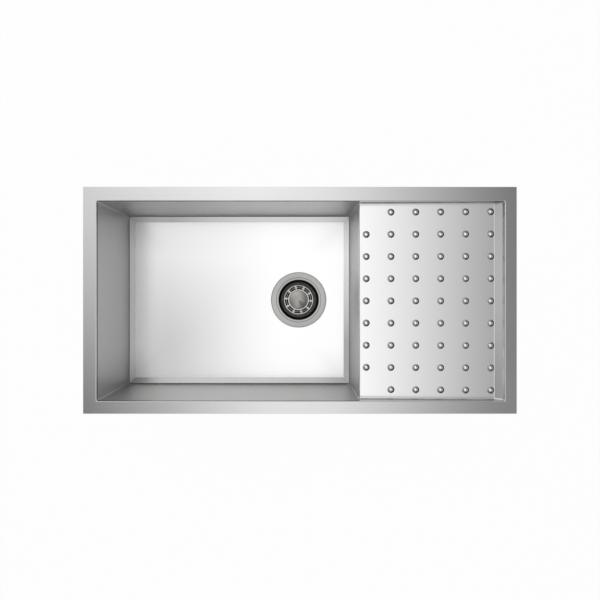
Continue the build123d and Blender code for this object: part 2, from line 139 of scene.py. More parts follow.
def angle_of(name, description, default):
    """An angle, given in degrees, that a user may change."""
    return FloatProperty(name=name, description=description, subtype="ANGLE", default=radians(default))


def number_of(name, description, default):
    """A number of copies that a user may change."""
    return IntProperty(name=name, description=description, min=1, default=default)


def share(name, description, default):
    """A number from 0 to 1 that a user may change."""
    return FloatProperty(
        name=name, description=description, subtype="FACTOR", min=0.0, max=1.0, default=default
    )


def brightness(name, description, default):
    """A light's level that a user may change."""
    return FloatProperty(name=name, description=description, min=0.0, default=default)


class SinkFinish(PropertyGroup):
    """Colours, sheens and painted shade of the sink's surfaces"""

    steel: colour("Satin Steel", "Colour of the brushed bowl and drainboard", (0.81, 0.81, 0.807))
    # Painted shade: the rim is drawn darker than the same steel in the bowl.
    rim: colour("Rim Steel", "Colour of the brushed rim", (0.6, 0.6, 0.597))
    steel_roughness: share("Steel Roughness", "How widely the bowl and drainboard spread a reflection", 0.2)
    rim_roughness: share("Rim Roughness", "How widely the rim spreads a reflection", 0.2)
    # Painted shade: how much darker the bowl's walls and its front wall are drawn, where they lie in shade.
    wall_shade: share("Wall Dullness", "How much darker the bowl's upright walls are", 0.1)
    wall_roughness: share("Wall Roughness", "Roughness that upright walls add to the sheet's", 0.26)
    front_wall_shade: share("Front Dullness", "How much darker the bowl's front wall is", 0.18)
    # Painted shade: how much darker the walls and the floor are drawn near the bowl's welded corners, where
    # shade falls.
    wall_corner_shade: share("Weld Haze", "How much the grinding of the corner welds darkens the walls", 0.1)
    floor_corner_shade: share("Floor Haze", "How much the grinding of the corner welds darkens the floor", 0.15)
    # Painted shade: how much darker the domes' flanks, the drainboard's end bevel and its long upright edges
    # are drawn.
    dome_flank_shade: share("Dome Dullness", "How much darker the flanks of the domes are", 0.9)
    end_bevel_shade: share("End Dullness", "How much darker the bevel at the drainboard's far end is", 0.3)
    long_edge_shade: share("Edge Dullness", "How much darker the drainboard's long upright edges are", 0.3)
    # Painted shade: how much darker the floor's bevels are drawn.
    bevel_shade: share("Bevel Dullness", "How much darker the floor's left and front bevels are", 0.5)
    back_bevel_shade: share("Back Bevel Dullness", "How much darker the floor's back bevel is", 0.2)
    # Painted shade: how dark the creases at the top and the foot of the walls are drawn.
    seam_shade: share("Seam Grime", "How dark the seams at the top and the foot of the walls are", 0.65)
    turned: colour("Turned Steel", "Colour of the waste's turned steel", (0.44, 0.44, 0.436))
    basket: colour("Basket Steel", "Colour of the basket", (0.52, 0.515, 0.505))
    knob: colour("Knob Steel", "Colour of the knob's turned face", (0.33, 0.315, 0.3))
    # Painted shade: this colour stands for the shade deep in the cup, in the gap round the basket, on the
    # basket's slotted web and in a fan on the knob.
    shade_colour: colour("Cup Stain", "Colour that waste water leaves low in the cup", (0.016, 0.015, 0.014))
    post: colour("Post Steel", "Colour of the basket's post", (0.5, 0.5, 0.5))
    zinc: colour("Zinc", "Colour of the plated clips", (0.6, 0.62, 0.64))
    cast: colour("Cast Nut", "Colour of the waste's plated nuts", (0.55, 0.55, 0.55))
    rubber: colour("Black Rubber", "Colour of the gaskets and the stopper", (0.03, 0.03, 0.03))
    pad: colour("Pad Rubber", "Colour of the sound pads", (0.13, 0.13, 0.14))
    foam: colour("Foam", "Colour of the rim's seal", (0.1, 0.1, 0.1))
    fibre: colour("Fibre", "Colour of the friction washer", (0.35, 0.27, 0.2))
    plastic: colour("White Plastic", "Colour of the tailpiece's washer", (0.85, 0.85, 0.83))


class SinkDetail(PropertyGroup):
    """Sizes of the details that the frame's boxes don't give"""

    sheet: length("Sheet", "Thickness of the bowl's and the drainboard's sheet", 1.2)
    corner_radius: length("Corner Radius", "Radius of the bowl's upright corners", 2.5)
    weld_radius: length("Weld Radius", "Half the width of the bowl's corner welds", 0.3)
    recess: length("Drain Recess", "Depth of the recess round the drain", 2.0)
    bevel_rise: length("Bevel Rise", "Height of the bevel round the bowl's floor", 4.0)
    floor_tilt: angle_of("Floor Tilt", "Tilt of the bowl's floor beside its walls", 4)
    tilt_width: length("Tilt Width", "Distance from the walls at which the floor is level", 100.0)
    # Painted shade: width of the darkening near the bowl's welded corners.
    corner_shade_width: length("Haze Width", "Width of the grinding beside the bowl's corner welds", 100.0)
    # Painted shade: the dark lines at the top and the foot of the walls.
    seam_width: length("Seam Width", "Width of the dark line at the top and the foot of the walls", 4.0)
    seam_overlap: length("Seam Overlap", "How far those dark lines reach past the walls", 0.2)
    seam_drop: length("Seam Drop", "Depth of the drainboard's seam under the rim's lip", 28.0)
    board_fall: length("Board Fall", "How far the drainboard falls towards the bowl", 8.0)
    board_length: length("Board Length", "Length of the drainboard", 286.0)
    long_fold: length("Long Fold", "Width of the fold along the drainboard's long edges", 6)
    end_bevel: length("End Bevel", "Width of the bevel at the drainboard's far end", 14.0)
    brace_flange: length("Brace Flange", "Width of a hat channel's flange", 12.0)
    spot_radius: length("Spot Radius", "Radius of a spot weld on a hat channel", 2.6)
    spot_pitch: length("Spot Pitch", "Distance between spot welds", 45.0)
    pad_corner: length("Pad Corner", "Corner radius of the sound pads", 8.0)
    pad_edge: length("Pad Edge", "Rounding of the sound pads' edges", 0.9)
    pad_groove: length("Pad Groove", "Depth of the groove round each sound pad", 0.7)
    cup_radius: length("Cup Radius", "Inside radius of the waste's cup", 48.0)
    cup_wall: length("Cup Wall", "Wall of the waste's cup", 2.0)
    cup_depth: length("Cup Depth", "Depth of the waste's cup under its flange", 45.0)
    cup_corner: length("Cup Corner", "Inside rounding of the cup's floor", 6.0)
    flange_thickness: length("Flange Thickness", "Thickness of the waste's flange", 1.6)
    flange_step: length("Flange Step", "Drop of the ledge inside the flange", 0.6)
    flange_ledge: length("Flange Ledge", "Width of the ledge inside the flange", 5.0)
    slot_groups: number_of("Slot Groups", "Pairs of slots round the basket", 10)
    slot_sweep: angle_of("Slot Sweep", "Angle that a slot spans", 25)
    web_radius: length("Web Radius", "Radius of the web between the basket's slots", 29.45)
    # Painted shade on the web between the basket's slots and on the basket's rim.
    web_shade: length("Web Stain", "Half the width of the stain on that web", 1.2)
    basket_rim: length("Basket Rim", "Width of the stained rim of the basket, with its play in the cup", 5.5)
    # Painted shade: a dark fan on the knob's face.
    fan_place: angle_of("Fan Place", "Direction of the dull fan on the knob's face", -55)
    fan_width: angle_of("Fan Width", "Half the angle that the fan spans", 50)
    outlet_radius: length("Outlet Radius", "Inside radius of the outlet", 20.0)
    outlet_wall: length("Outlet Wall", "Wall of the outlet", 3.9)
    pipe_pitch: length("Pipe Pitch", "Pitch of the waste's threads", 2.0)
    pipe_thread: length("Pipe Thread", "Depth of the waste's threads", 0.6)
    lug_reach: length("Lug Reach", "How far the locknut's lugs stand out", 4.0)
    lug_width: length("Lug Width", "Width of the locknut's lugs", 9.0)
    lugs: number_of("Lugs", "Lugs round the locknut", 8)
    tail_radius: length("Tailpiece Radius", "Outside radius of the tailpiece", 19.0)
    tail_wall: length("Tailpiece Wall", "Wall of the tailpiece", 1.2)
    tail_flange: length("Tailpiece Flange", "Thickness of the tailpiece's flange", 1.5)
    union_lip: length("Union Lip", "Thickness of the lip that holds the tailpiece", 3.0)
    knob_rim: length("Knob Rim", "Height of the knob's upright rim", 3.5)
    knob_rise: length("Knob Rise", "Height of the knob's conical face", 5.0)
    knob_neck: length("Knob Neck", "Radius of the knob's neck", 9.0)
    post_radius: length("Post Radius", "Radius of the post's shank", 3.0)
    post_body: length("Post Body", "Radius of the post under the basket", 4.5)
    post_head: length("Post Head", "Thickness of the post's head", 2.0)
    post_pitch: length("Post Pitch", "Pitch of the post's thread", 1.0)
    stud_radius: length("Stud Radius", "Radius of the studs", 2.5)
    stud_base: length("Stud Base", "Radius of the disc that welds a stud to the rim", 4.0)
    stud_thread: length("Stud Thread", "Length of a stud's thread and its point", 36.0)
    stud_point: length("Stud Point", "Chamfer at a stud's end", 0.6)
    stud_foot: length("Stud Foot", "Thickness of the disc that welds a stud to the rim", 1.0)
    stud_pitch: length("Stud Pitch", "Pitch of the studs' threads", 0.8)
    clip_flats: length("Clip Nut Flats", "Width across the flats of a clip's nut", 8.0)
    clip_collar: length("Clip Nut Collar", "Thickness of the collar on a clip's nut", 1.2)
    claw_width: length("Claw Width", "Width of a claw's strap", 10.0)
    claw_sheet: length("Claw Sheet", "Thickness of a claw's strap", 2.0)
    claw_bend: length("Claw Bend", "Inside radius of a claw's bend", 1.5)
    claw_tooth: length("Claw Tooth", "Depth of the teeth on a claw's tip", 1.3)
    claw_teeth: number_of("Claw Teeth", "Teeth on a claw's tip", 6)
    running_fit: length("Running Fit", "Play between a pin and what turns on it", 0.06)
    thread_fit: length("Thread Fit", "Play between a thread and its nut", 0.1)


class SinkStage(PropertyGroup):
    """Camera and lights of the studio"""

    camera_at: FloatVectorProperty(
        name="Camera Place",
        description="Place of the camera over the rim",
        subtype="TRANSLATION",
        default=(-0.0145, 0.0125, 0.976),
    )
    camera_shift: FloatVectorProperty(
        name="Camera Shift", description="Shift of the lens across and up", size=2, default=(0.0123, -0.01)
    )
    lens: FloatProperty(
        name="Lens",
        description="Focal length on a 36 mm sensor, in millimetres",
        subtype="DISTANCE_CAMERA",
        default=29.54,
    )
    top_light: brightness("Top Light", "Radiance of the boxes overhead, all together", 1.15)
    side_light: brightness("Side Light", "Radiance of the boxes at the back left, all together", 0.8)
    fill_light: brightness("Fill Light", "Radiance of the box at the right", 0.35)
    wall_light: brightness("Wall Light", "Strength of the studio's walls, near the horizon", 1.0)
    world_light: brightness("Ceiling Light", "Strength of the studio's ceiling", 0.17)
    floor_white: share("Floor White", "How white the camera sees the floor", 0.97)


def add_node(tree, kind, inputs=None, **settings):
    """Add a node, set its options, and set or link its inputs."""
    made = tree.nodes.new(kind)
    for key, value in settings.items():
        setattr(made, key, value)
    for key, value in (inputs or {}).items():
        if isinstance(value, bpy.types.NodeSocket):
            tree.links.new(value, made.inputs[key])
        else:
            made.inputs[key].default_value = value
    return made


def work_out(tree, operation, *values):
    """The result of one sum on numbers or sockets."""
    return add_node(tree, "ShaderNodeMath", dict(enumerate(values)), operation=operation).outputs[0]


def vector_sum(tree, operation, *values):
    """The result of one sum on vectors or sockets."""
    return add_node(tree, "ShaderNodeVectorMath", dict(enumerate(values)), operation=operation).outputs[0]


def product(tree, first, *others):
    """The product of numbers or sockets."""
    for other in others:
        first = work_out(tree, "MULTIPLY", first, other)
    return first


def unsigned(tree, value):
    """A number without its sign."""
    return work_out(tree, "ABSOLUTE", value)


def exceeds(tree, value, limit):
    """1 where a value is over a limit, and 0 elsewhere."""
    return work_out(tree, "GREATER_THAN", value, limit)


def within(tree, value, limit):
    """1 where a value is under a limit, and 0 elsewhere."""
    return work_out(tree, "LESS_THAN", value, limit)


def between(tree, value, low, high):
    """1 where a value lies between two levels, and 0 elsewhere."""
    off = unsigned(tree, work_out(tree, "SUBTRACT", value, (low + high) / 2))
    return within(tree, off, (high - low) / 2)


def choose(tree, part, low, high):
    """A number that goes from low to high as the part goes from 0 to 1."""
    return work_out(tree, "MULTIPLY_ADD", part, work_out(tree, "SUBTRACT", high, low), low)


def spread(tree, socket, middle, width):
    """A number about a middle value that follows a texture of 0 to 1."""
    return work_out(tree, "MULTIPLY_ADD", socket, width, middle - width / 2)


def fall(tree, value, start, end):
    """1 up to a start, 0 past an end, and a smooth way between."""
    inputs = {"Value": value, "From Min": start, "From Max": end, "To Min": 1.0, "To Max": 0.0}
    return add_node(tree, "ShaderNodeMapRange", inputs, interpolation_type="SMOOTHSTEP").outputs[0]


def noise(tree, vector, detail=2.0, scale=1.0):
    """A noise texture's value at a vector."""
    inputs = {"Vector": vector, "Detail": detail, "Scale": scale}
    return add_node(tree, "ShaderNodeTexNoise", inputs).outputs["Fac"]


def mixed(tree, part, before, after):
    """A colour between two, by a part from 0 to 1."""
    inputs = {0: part}
    for place, shade in ((6, before), (7, after)):
        inputs[place] = shade if isinstance(shade, bpy.types.NodeSocket) else (*shade, 1)
    return add_node(tree, "ShaderNodeMix", inputs, data_type="RGBA").outputs[2]


def dimmed(base, amount):
    """A colour times a number."""
    return tuple(amount * part for part in base)


def start_material(name):
    """A new material with its tree and its main shader."""
    material = bpy.data.materials.new(name)
    material.use_nodes = True
    tree = material.node_tree
    return material, tree, tree.nodes["Principled BSDF"]


def feed(tree, shader, tint, rough, height, strength, tangent=None, dish=None):
    """Link a shader's colour, roughness, bump, grain direction and dished form."""
    tree.links.new(tint, shader.inputs["Base Color"])
    tree.links.new(rough, shader.inputs["Roughness"])
    bump = add_node(tree, "ShaderNodeBump", {"Strength": strength, "Distance": 0.2 * MM, "Height": height})
    tree.links.new(bump.outputs[0], shader.inputs["Normal"])
    if tangent:
        tree.links.new(tangent, shader.inputs["Tangent"])
    if dish:
        hollow = add_node(tree, "ShaderNodeBump", {"Strength": 1.0, "Distance": 1.0, "Height": dish})
        tree.links.new(hollow.outputs[0], bump.inputs["Normal"])


def sheet_grain(tree):
    """Place, places along and across a sheet's brushing, its direction, and parts of place and normal."""
    place = add_node(tree, "ShaderNodeTexCoord").outputs["Object"]
    facing = add_node(tree, "ShaderNodeNewGeometry").outputs["Normal"]
    at = add_node(tree, "ShaderNodeSeparateXYZ", {0: place}).outputs
    towards = add_node(tree, "ShaderNodeSeparateXYZ", {0: facing}).outputs
    end_wall = exceeds(tree, unsigned(tree, towards["X"]), FACING)
    long_wall = exceeds(tree, unsigned(tree, towards["Y"]), FACING)
    along = choose(tree, end_wall, at["X"], at["Z"])
    across = choose(tree, long_wall, at["Y"], at["Z"])
    turned = vector_sum(tree, "CROSS_PRODUCT", (0, 1, 0), facing)
    # A small push keeps the direction from vanishing on walls that face along Y
    brushed = vector_sum(tree, "ADD", turned, (0.02, 0, 0))
    return place, along, across, brushed, at, towards


def from_side(tree, place, low, high):
    """Distance inside the nearer of two opposite walls."""
    off = unsigned(tree, work_out(tree, "SUBTRACT", place, (low + high) / 2))
    return work_out(tree, "SUBTRACT", (high - low) / 2, off)


def wall_distances(tree, at):
    """Distances inside the bowl's nearer end wall and its nearer long wall."""
    from_end = from_side(tree, at["X"], bowl_low.x, bowl_high.x)
    from_long = from_side(tree, at["Y"], bowl_low.y, bowl_high.y)
    return from_end, from_long


def floor_fold(detail):
    """Height of the fold between the bowl's walls and its floor's bevels."""
    return bowl_low.z + detail.recess + detail.sheet + detail.bevel_rise


def corner_nearness(tree, at, detail):
    """How near a point is to a welded corner of the bowl, from 0 to 1."""
    return fall(tree, work_out(tree, "MAXIMUM", *wall_distances(tree, at)), 0.0, detail.corner_shade_width)


def seam_lines(tree, at, detail):
    """Where painted shade goes: 1 inside the bowl under the rim's lip and in the fold at its walls' foot, and
    0 elsewhere.
    """
    width, overlap, fold = detail.seam_width, detail.seam_overlap, floor_fold(detail)
    inside = exceeds(tree, work_out(tree, "MINIMUM", *wall_distances(tree, at)), detail.sheet / 2)
    foot = between(tree, at["Z"], fold - overlap, fold + width)
    lip = between(tree, at["Z"], bowl_high.z - width, bowl_high.z + overlap)
    return product(tree, work_out(tree, "MAXIMUM", foot, lip), inside)


def bowl_shade(tree, at, towards, finish, detail):
    """Painted shade on the bowl's walls, bevels, corners and seams, and the roughness that its walls add."""
    level = unsigned(tree, towards["Z"])
    upright = within(tree, level, WALL_LEVEL)
    board_wall = within(tree, towards["X"], -FACING)
    front_wall = exceeds(tree, towards["Y"], FACING)
    # Painted shade on the upright walls: none on the wall at the drainboard, more on the front wall.
    wall = choose(tree, board_wall, finish.wall_shade, 0.0)
    wall = choose(tree, front_wall, wall, finish.front_wall_shade)
    # Painted shade on the floor's bevels: most on the left and front ones, less on the back one, none on the
    # one at the drainboard.
    left_or_front = exceeds(tree, work_out(tree, "ADD", towards["X"], towards["Y"]), 0.0)
    back = within(tree, towards["Y"], -BEVEL_LEAN)
    bevel_darkness = choose(tree, back, 0.0, finish.back_bevel_shade)
    bevel_darkness = choose(tree, left_or_front, bevel_darkness, finish.bevel_shade)
    bevel = product(tree, between(tree, level, *BEVEL_LEVELS), bevel_darkness)
    shade = choose(tree, upright, bevel, wall)
    # Painted shade near the welded corners, on the floor and on the walls.
    corner_shade = choose(tree, upright, finish.floor_corner_shade, finish.wall_corner_shade)
    shade = work_out(tree, "MULTIPLY_ADD", corner_nearness(tree, at, detail), corner_shade, shade)
    # Painted shade in the creases under the rim's lip and at the foot of the walls.
    seams = product(tree, seam_lines(tree, at, detail), finish.seam_shade)
    return work_out(tree, "MAXIMUM", shade, seams), product(tree, upright, finish.wall_roughness)


def dome_shade(tree, at, towards, level, finish, detail):
    """Painted shade on the domes' flanks, darker on flanks that face the board's far end and front, and less
    on the folds along the drainboard's long edges.
    """
    far_side = work_out(tree, "MULTIPLY_ADD", towards["X"], DOME_TO_END, DOME_MIDDLE)
    far_side = work_out(tree, "MULTIPLY_ADD", towards["Y"], -DOME_TO_FRONT, far_side)
    far_side = work_out(tree, "MINIMUM", work_out(tree, "MAXIMUM", far_side, DOME_LEAST), 1.0)
    past_seam = exceeds(tree, at["X"], bowl_high.x + 2 * detail.sheet)
    from_edge = from_side(tree, at["Y"], board_low.y, board_high.y)
    folded = choose(tree, within(tree, from_edge, detail.long_fold), 1.0, LONG_FOLD_PART)
    flank = fall(tree, level, *DOME_LEVELS)
    return product(tree, flank, finish.dome_flank_shade, folded, far_side, past_seam)


def board_shade(tree, at, towards, finish, detail):
    """Painted shade on the drainboard's domes, end bevel and long edges, with no added roughness."""
    level = unsigned(tree, towards["Z"])
    upright = within(tree, level, EDGE_LEVEL)
    edge = product(tree, exceeds(tree, unsigned(tree, towards["Y"]), FACING), finish.long_edge_shade)
    end_bevel = exceeds(tree, at["X"], board_high.x - detail.end_bevel - detail.sheet)
    end = work_out(tree, "MULTIPLY_ADD", at["Y"], END_GROWTH, finish.end_bevel_shade)
    dome = dome_shade(tree, at, towards, level, finish, detail)
    return choose(tree, upright, choose(tree, end_bevel, dome, end), edge), 0.0


def floor_dish(tree, at, detail):
    """Height of a floor that falls away from the bowl's walls, more steeply beside them."""
    heights = []
    for distance in wall_distances(tree, at):
        inside = work_out(tree, "MINIMUM", distance, detail.tilt_width)
        bend = work_out(tree, "MULTIPLY_ADD", inside, 0.5 / detail.tilt_width, -1.0)
        heights.append(product(tree, inside, bend))
    return product(tree, work_out(tree, "ADD", *heights), tan(detail.floor_tilt))


def brushed_sheet(name, base, roughness, finish, detail, shade=None, dish=None):
    """Brushed sheet with long fine scratches, with painted shade and a dished normal where that is asked."""
    material, tree, shader = start_material(name)
    place, along, across, brushed, at, towards = sheet_grain(tree)
    fine_at = {0: product(tree, along, BRUSH_ALONG), 1: product(tree, across, BRUSH_ACROSS)}
    fine = noise(tree, add_node(tree, "ShaderNodeCombineXYZ", fine_at).outputs[0], detail=3.0)
    cloud = noise(tree, place, detail=2.0, scale=9.0)
    tint = mixed(tree, fine, dimmed(base, 0.965), base)
    rough = work_out(tree, "ADD", spread(tree, fine, roughness, 0.06), spread(tree, cloud, 0.0, 0.03))
    if shade:
        dark, rougher = shade(tree, at, towards, finish, detail)
        # Painted shade darkens the colour and the specular tint.
        tint = mixed(tree, dark, tint, BLACK)
        rough = work_out(tree, "ADD", rough, rougher)
        tree.links.new(mixed(tree, dark, WHITE, BLACK), shader.inputs["Specular Tint"])
    feed(tree, shader, tint, rough, fine, 0.02, brushed, dish(tree, at, detail) if dish else None)
    shader.inputs["Metallic"].default_value = 1.0
    shader.inputs["Anisotropic"].default_value = 0.3
    return material


def round_grain(tree):
    """Place, place from the waste's axis, distance from that axis, and direction round it."""
    place = add_node(tree, "ShaderNodeTexCoord").outputs["Object"]
    moved = vector_sum(tree, "SUBTRACT", place, (drain.x, drain.y, 0))
    at = add_node(tree, "ShaderNodeSeparateXYZ", {0: moved}).outputs
    squares = [work_out(tree, "POWER", at[axis], 2) for axis in "XY"]
    tangent = add_node(tree, "ShaderNodeTangent", direction_type="RADIAL", axis="Z").outputs[0]
    return place, at, work_out(tree, "SQRT", work_out(tree, "ADD", *squares)), tangent


def cup_shade(tree, at, reach, detail):
    """Painted shade low in the waste's cup and in lines along its flange's step and edge, with no added
    roughness.
    """
    margin, line_part = 0.5 * MM, 0.6
    low = fall(tree, at["Z"], body_high.z - 2 * MM, body_high.z - 0.7 * MM)
    above_floor = exceeds(tree, at["Z"], body_high.z - detail.cup_depth - margin)
    in_cup = within(tree, reach, detail.cup_radius + margin)
    step_at, edge_at = detail.cup_radius + detail.flange_ledge, (body_high.x - body_low.x) / 2
    step = between(tree, reach, step_at - 0.5 * MM, step_at + 0.7 * MM)
    edge = between(tree, reach, edge_at - 1.4 * MM, edge_at + 1.0 * MM)
    lines = product(tree, work_out(tree, "MAXIMUM", step, edge), line_part)
    return work_out(tree, "MAXIMUM", product(tree, low, above_floor, in_cup), lines), 0.0


def basket_shade(tree, at, reach, detail):
    """Painted shade on the basket's rim and on the web between its slots, and the roughness that its steep
    wall adds.
    """
    web_part, wall_roughness = 0.6, 0.4
    facing = add_node(tree, "ShaderNodeNewGeometry").outputs["Normal"]
    up = add_node(tree, "ShaderNodeSeparateXYZ", {0: facing}).outputs["Z"]
    steep = fall(tree, unsigned(tree, up), *BASKET_LEVELS)
    rim = exceeds(tree, reach, detail.cup_radius - detail.basket_rim)
    half_slot = detail.slot_sweep / 2
    from_middle = work_out(tree, "SUBTRACT", work_out(tree, "ARCTAN2", at["Y"], at["X"]), half_slot)
    off = work_out(tree, "PINGPONG", from_middle, pi / detail.slot_groups)
    web = between(tree, reach, detail.web_radius - detail.web_shade, detail.web_radius + detail.web_shade)
    web = product(tree, web, within(tree, off, half_slot), web_part)
    return work_out(tree, "MAXIMUM", rim, web), product(tree, steep, wall_roughness)


def knob_shade_fan(tree, at, reach, detail):
    """Painted shade in a fan across the knob's turned face, with no added roughness."""
    fan_part = 0.55
    from_fan = work_out(tree, "SUBTRACT", work_out(tree, "ARCTAN2", at["Y"], at["X"]), detail.fan_place)
    return product(tree, fall(tree, unsigned(tree, from_fan), 0.0, detail.fan_width), fan_part), 0.0


def turned_steel(name, base, roughness, anisotropic, shade_colour=None, painted_shade=None, detail=None):
    """Steel turned on a lathe, with fine rings round its axis, darkened by painted shade and roughened where
    its shade function asks.
    """
    material, tree, shader = start_material(name)
    place, at, reach, tangent = round_grain(tree)
    ring_at = {0: product(tree, reach, LATHE_MARKS), 2: product(tree, at["Z"], LATHE_MARKS)}
    rings = noise(tree, add_node(tree, "ShaderNodeCombineXYZ", ring_at).outputs[0], detail=3.0)
    cloud = noise(tree, place, detail=2.0, scale=60.0)
    tint = mixed(tree, rings, dimmed(base, 0.93), base)
    rough = work_out(tree, "ADD", spread(tree, rings, roughness, 0.06), spread(tree, cloud, 0.0, 0.04))
    if painted_shade:
        dark, rougher = painted_shade(tree, at, reach, detail)
        tint = mixed(tree, dark, tint, shade_colour)
        rough = work_out(tree, "ADD", rough, rougher)
    feed(tree, shader, tint, rough, rings, 0.01, tangent)
    shader.inputs["Metallic"].default_value = 1.0
    shader.inputs["Anisotropic"].default_value = anisotropic
    return material


def grained(name, base, roughness, scale, metallic=0.0):
    """A matt or plated surface with a fine grain and faint patches."""
    material, tree, shader = start_material(name)
    place = add_node(tree, "ShaderNodeTexCoord").outputs["Object"]
    grain = noise(tree, place, detail=3.0, scale=scale)
    patches = noise(tree, place, detail=2.0, scale=scale / 40)
    tint = mixed(tree, patches, dimmed(base, 0.8), base)
    feed(tree, shader, tint, spread(tree, grain, roughness, 0.2), grain, 0.3)
    shader.inputs["Metallic"].default_value = metallic
    return material


def finish_named(coating, scene):
    """A finish by its name, made once."""
    if coating in finishes:
        return finishes[coating]
    finish, detail = scene.sink_finish, scene.sink_detail
    sheet, rim, turned = tuple(finish.steel), tuple(finish.rim), tuple(finish.turned)
    basket, shade_colour = tuple(finish.basket), tuple(finish.shade_colour)
    makers = {
        "bowl_steel": lambda: brushed_sheet(
            coating, sheet, finish.steel_roughness, finish, detail, bowl_shade, floor_dish
        ),
        "satin_steel": lambda: brushed_sheet(
            coating, sheet, finish.steel_roughness, finish, detail, board_shade
        ),
        # Painted shade: the rim's colour is drawn darker than the same steel in the bowl.
        "rim_steel": lambda: brushed_sheet(coating, rim, finish.rim_roughness, finish, detail),
        "turned_steel": lambda: turned_steel(coating, turned, 0.34, 0.5, shade_colour, cup_shade, detail),
        "basket_steel": lambda: turned_steel(coating, basket, 0.3, 0.5, shade_colour, basket_shade, detail),
        "knob_steel": lambda: turned_steel(coating, tuple(finish.knob), 0.24, 0.75, shade_colour, knob_shade_fan, detail),
        "post_steel": lambda: turned_steel(coating, tuple(finish.post), 0.3, 0.5),
        "zinc_steel": lambda: grained(coating, tuple(finish.zinc), 0.35, 600.0, 1.0),
        "cast_nut": lambda: grained(coating, tuple(finish.cast), 0.35, 500.0, 1.0),
        "black_rubber": lambda: grained(coating, tuple(finish.rubber), 0.6, 900.0),
        "sound_pad_rubber": lambda: grained(coating, tuple(finish.pad), 0.8, 600.0),
        "foam_seal": lambda: grained(coating, tuple(finish.foam), 0.9, 1500.0),
        "fibre_washer": lambda: grained(coating, tuple(finish.fibre), 0.8, 700.0),
        "white_plastic": lambda: grained(coating, tuple(finish.plastic), 0.5, 500.0),
    }
    finishes[coating] = makers[coating]()
    return finishes[coating]


def coat(scene, coating, *names):
    """Give CAD nodes a finish."""
    for name in names:
        slots = frame["nodes"][name].data.materials
        slots.clear()
        slots.append(finish_named(coating, scene))


def place_piece(scene, name, shape, body, slot, nodes=(), coating=None, ease=0.0):
    """Make a clean mesh, ease its edges, give it the finish of its coating or slot, fasten it to its body and
    hide the nodes that it replaces.
    """
    mesh = bpy.data.meshes.new(name)
    mesh.from_pydata(shape[0], [], shape[1])
    clean = bmesh.new()
    clean.from_mesh(mesh)
    bmesh.ops.remove_doubles(clean, verts=clean.verts, dist=SAME_POINT)
    bmesh.ops.dissolve_degenerate(clean, edges=clean.edges, dist=TINY)
    bmesh.ops.recalc_face_normals(clean, faces=clean.faces)
    if ease:
        sharp = [edge for edge in clean.edges if edge.calc_face_angle() > EASED_FROM]
        bmesh.ops.bevel(clean, geom=sharp, offset=ease, segments=2, profile=0.5, affect="EDGES")
    clean.to_mesh(mesh)
    clean.free()
    mesh.shade_smooth()
    mesh.set_sharp_from_angle(angle=SHARP_FROM)
    mesh.materials.append(finish_named(coating or slot, scene))
    piece = bpy.data.objects.new(name, mesh)
    scene.collection.objects.link(piece)
    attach(piece, body)
    if nodes:
        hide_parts(*nodes)


def joined(shapes):
    """One shape of points and faces from several."""
    verts, faces = [], []
    for more_verts, more_faces in shapes:
        start = len(verts)
        verts.extend(more_verts)
        faces.extend(tuple(start + index for index in face) for face in more_faces)
    return verts, faces


def rounded(corners, segments=4):
    """Closed outline of (across, up, rounding) corners, each rounding drawn as an arc."""
    outline = []
    for index, (x, y, radius) in enumerate(corners):
        corner = Vector((x, y))
        if radius == 0:
            outline.append((x, y))
            continue
        before = (Vector(corners[index - 1][:2]) - corner).normalized()
        after = (Vector(corners[(index + 1) % len(corners)][:2]) - corner).normalized()
        half = before.angle(after) / 2
        centre = corner + (before + after).normalized() * (radius / sin(half))
        start = corner + before * (radius / tan(half)) - centre
        end = corner + after * (radius / tan(half)) - centre
        first = atan2(start.y, start.x)
        sweep = (atan2(end.y, end.x) - first + pi) % tau - pi
        for step in range(segments + 1):
            angle = first + sweep * step / segments
            outline.append((centre.x + radius * cos(angle), centre.y + radius * sin(angle)))
    return outline


def spin(outline, steps, at=drain, shape=None):
    """Points and faces of a closed (radius, height) outline turned about an upright axis."""
    count = len(outline)
    verts, faces = [], []
    for step in range(steps):
        angle = tau * step / steps
        for radius, height in outline:
            reach = radius + (shape(radius, height, angle) if shape else 0.0)
            verts.append((at[0] + reach * cos(angle), at[1] + reach * sin(angle), height))
    for step in range(steps):
        near, far = step * count, (step + 1) % steps * count
        for index in range(count):
            follow = (index + 1) % count
            faces.append((near + index, near + follow, far + follow, far + index))
    return verts, faces


def flat_ring(inner, outer, low, high, edge):
    """Outline of a ring with eased edges."""
    return rounded([(outer, high, edge), (inner, high, edge), (inner, low, edge), (outer, low, edge)])


def thread_rows(radius, low, high, pitch, per_turn=6):
    """Points up a threaded stretch of an outline."""
    count = round((high - low) / pitch * per_turn)
    return [(radius, low + (high - low) * index / count) for index in range(count + 1)]


def threaded(depth, *stretches):
    """A shape for spin that cuts threads into stretches, each (radius, low, high, pitch), of an outline."""
    steepness, crest = 1.6, 0.3

    def cut(radius, height, angle):
        """Change of radius that the threads make at a point."""
        for at_radius, low, high, pitch in stretches:
            if abs(radius - at_radius) < TINY and low < height < high:
                turn = (height / pitch - angle / tau) % 1.0
                slope = min(1.0, max(0.0, steepness * abs(2 * turn - 1) - crest))
                fade = min(1.0, (high - height) / pitch, (height - low) / pitch)
                return -depth * slope * fade
        return 0.0

    return cut


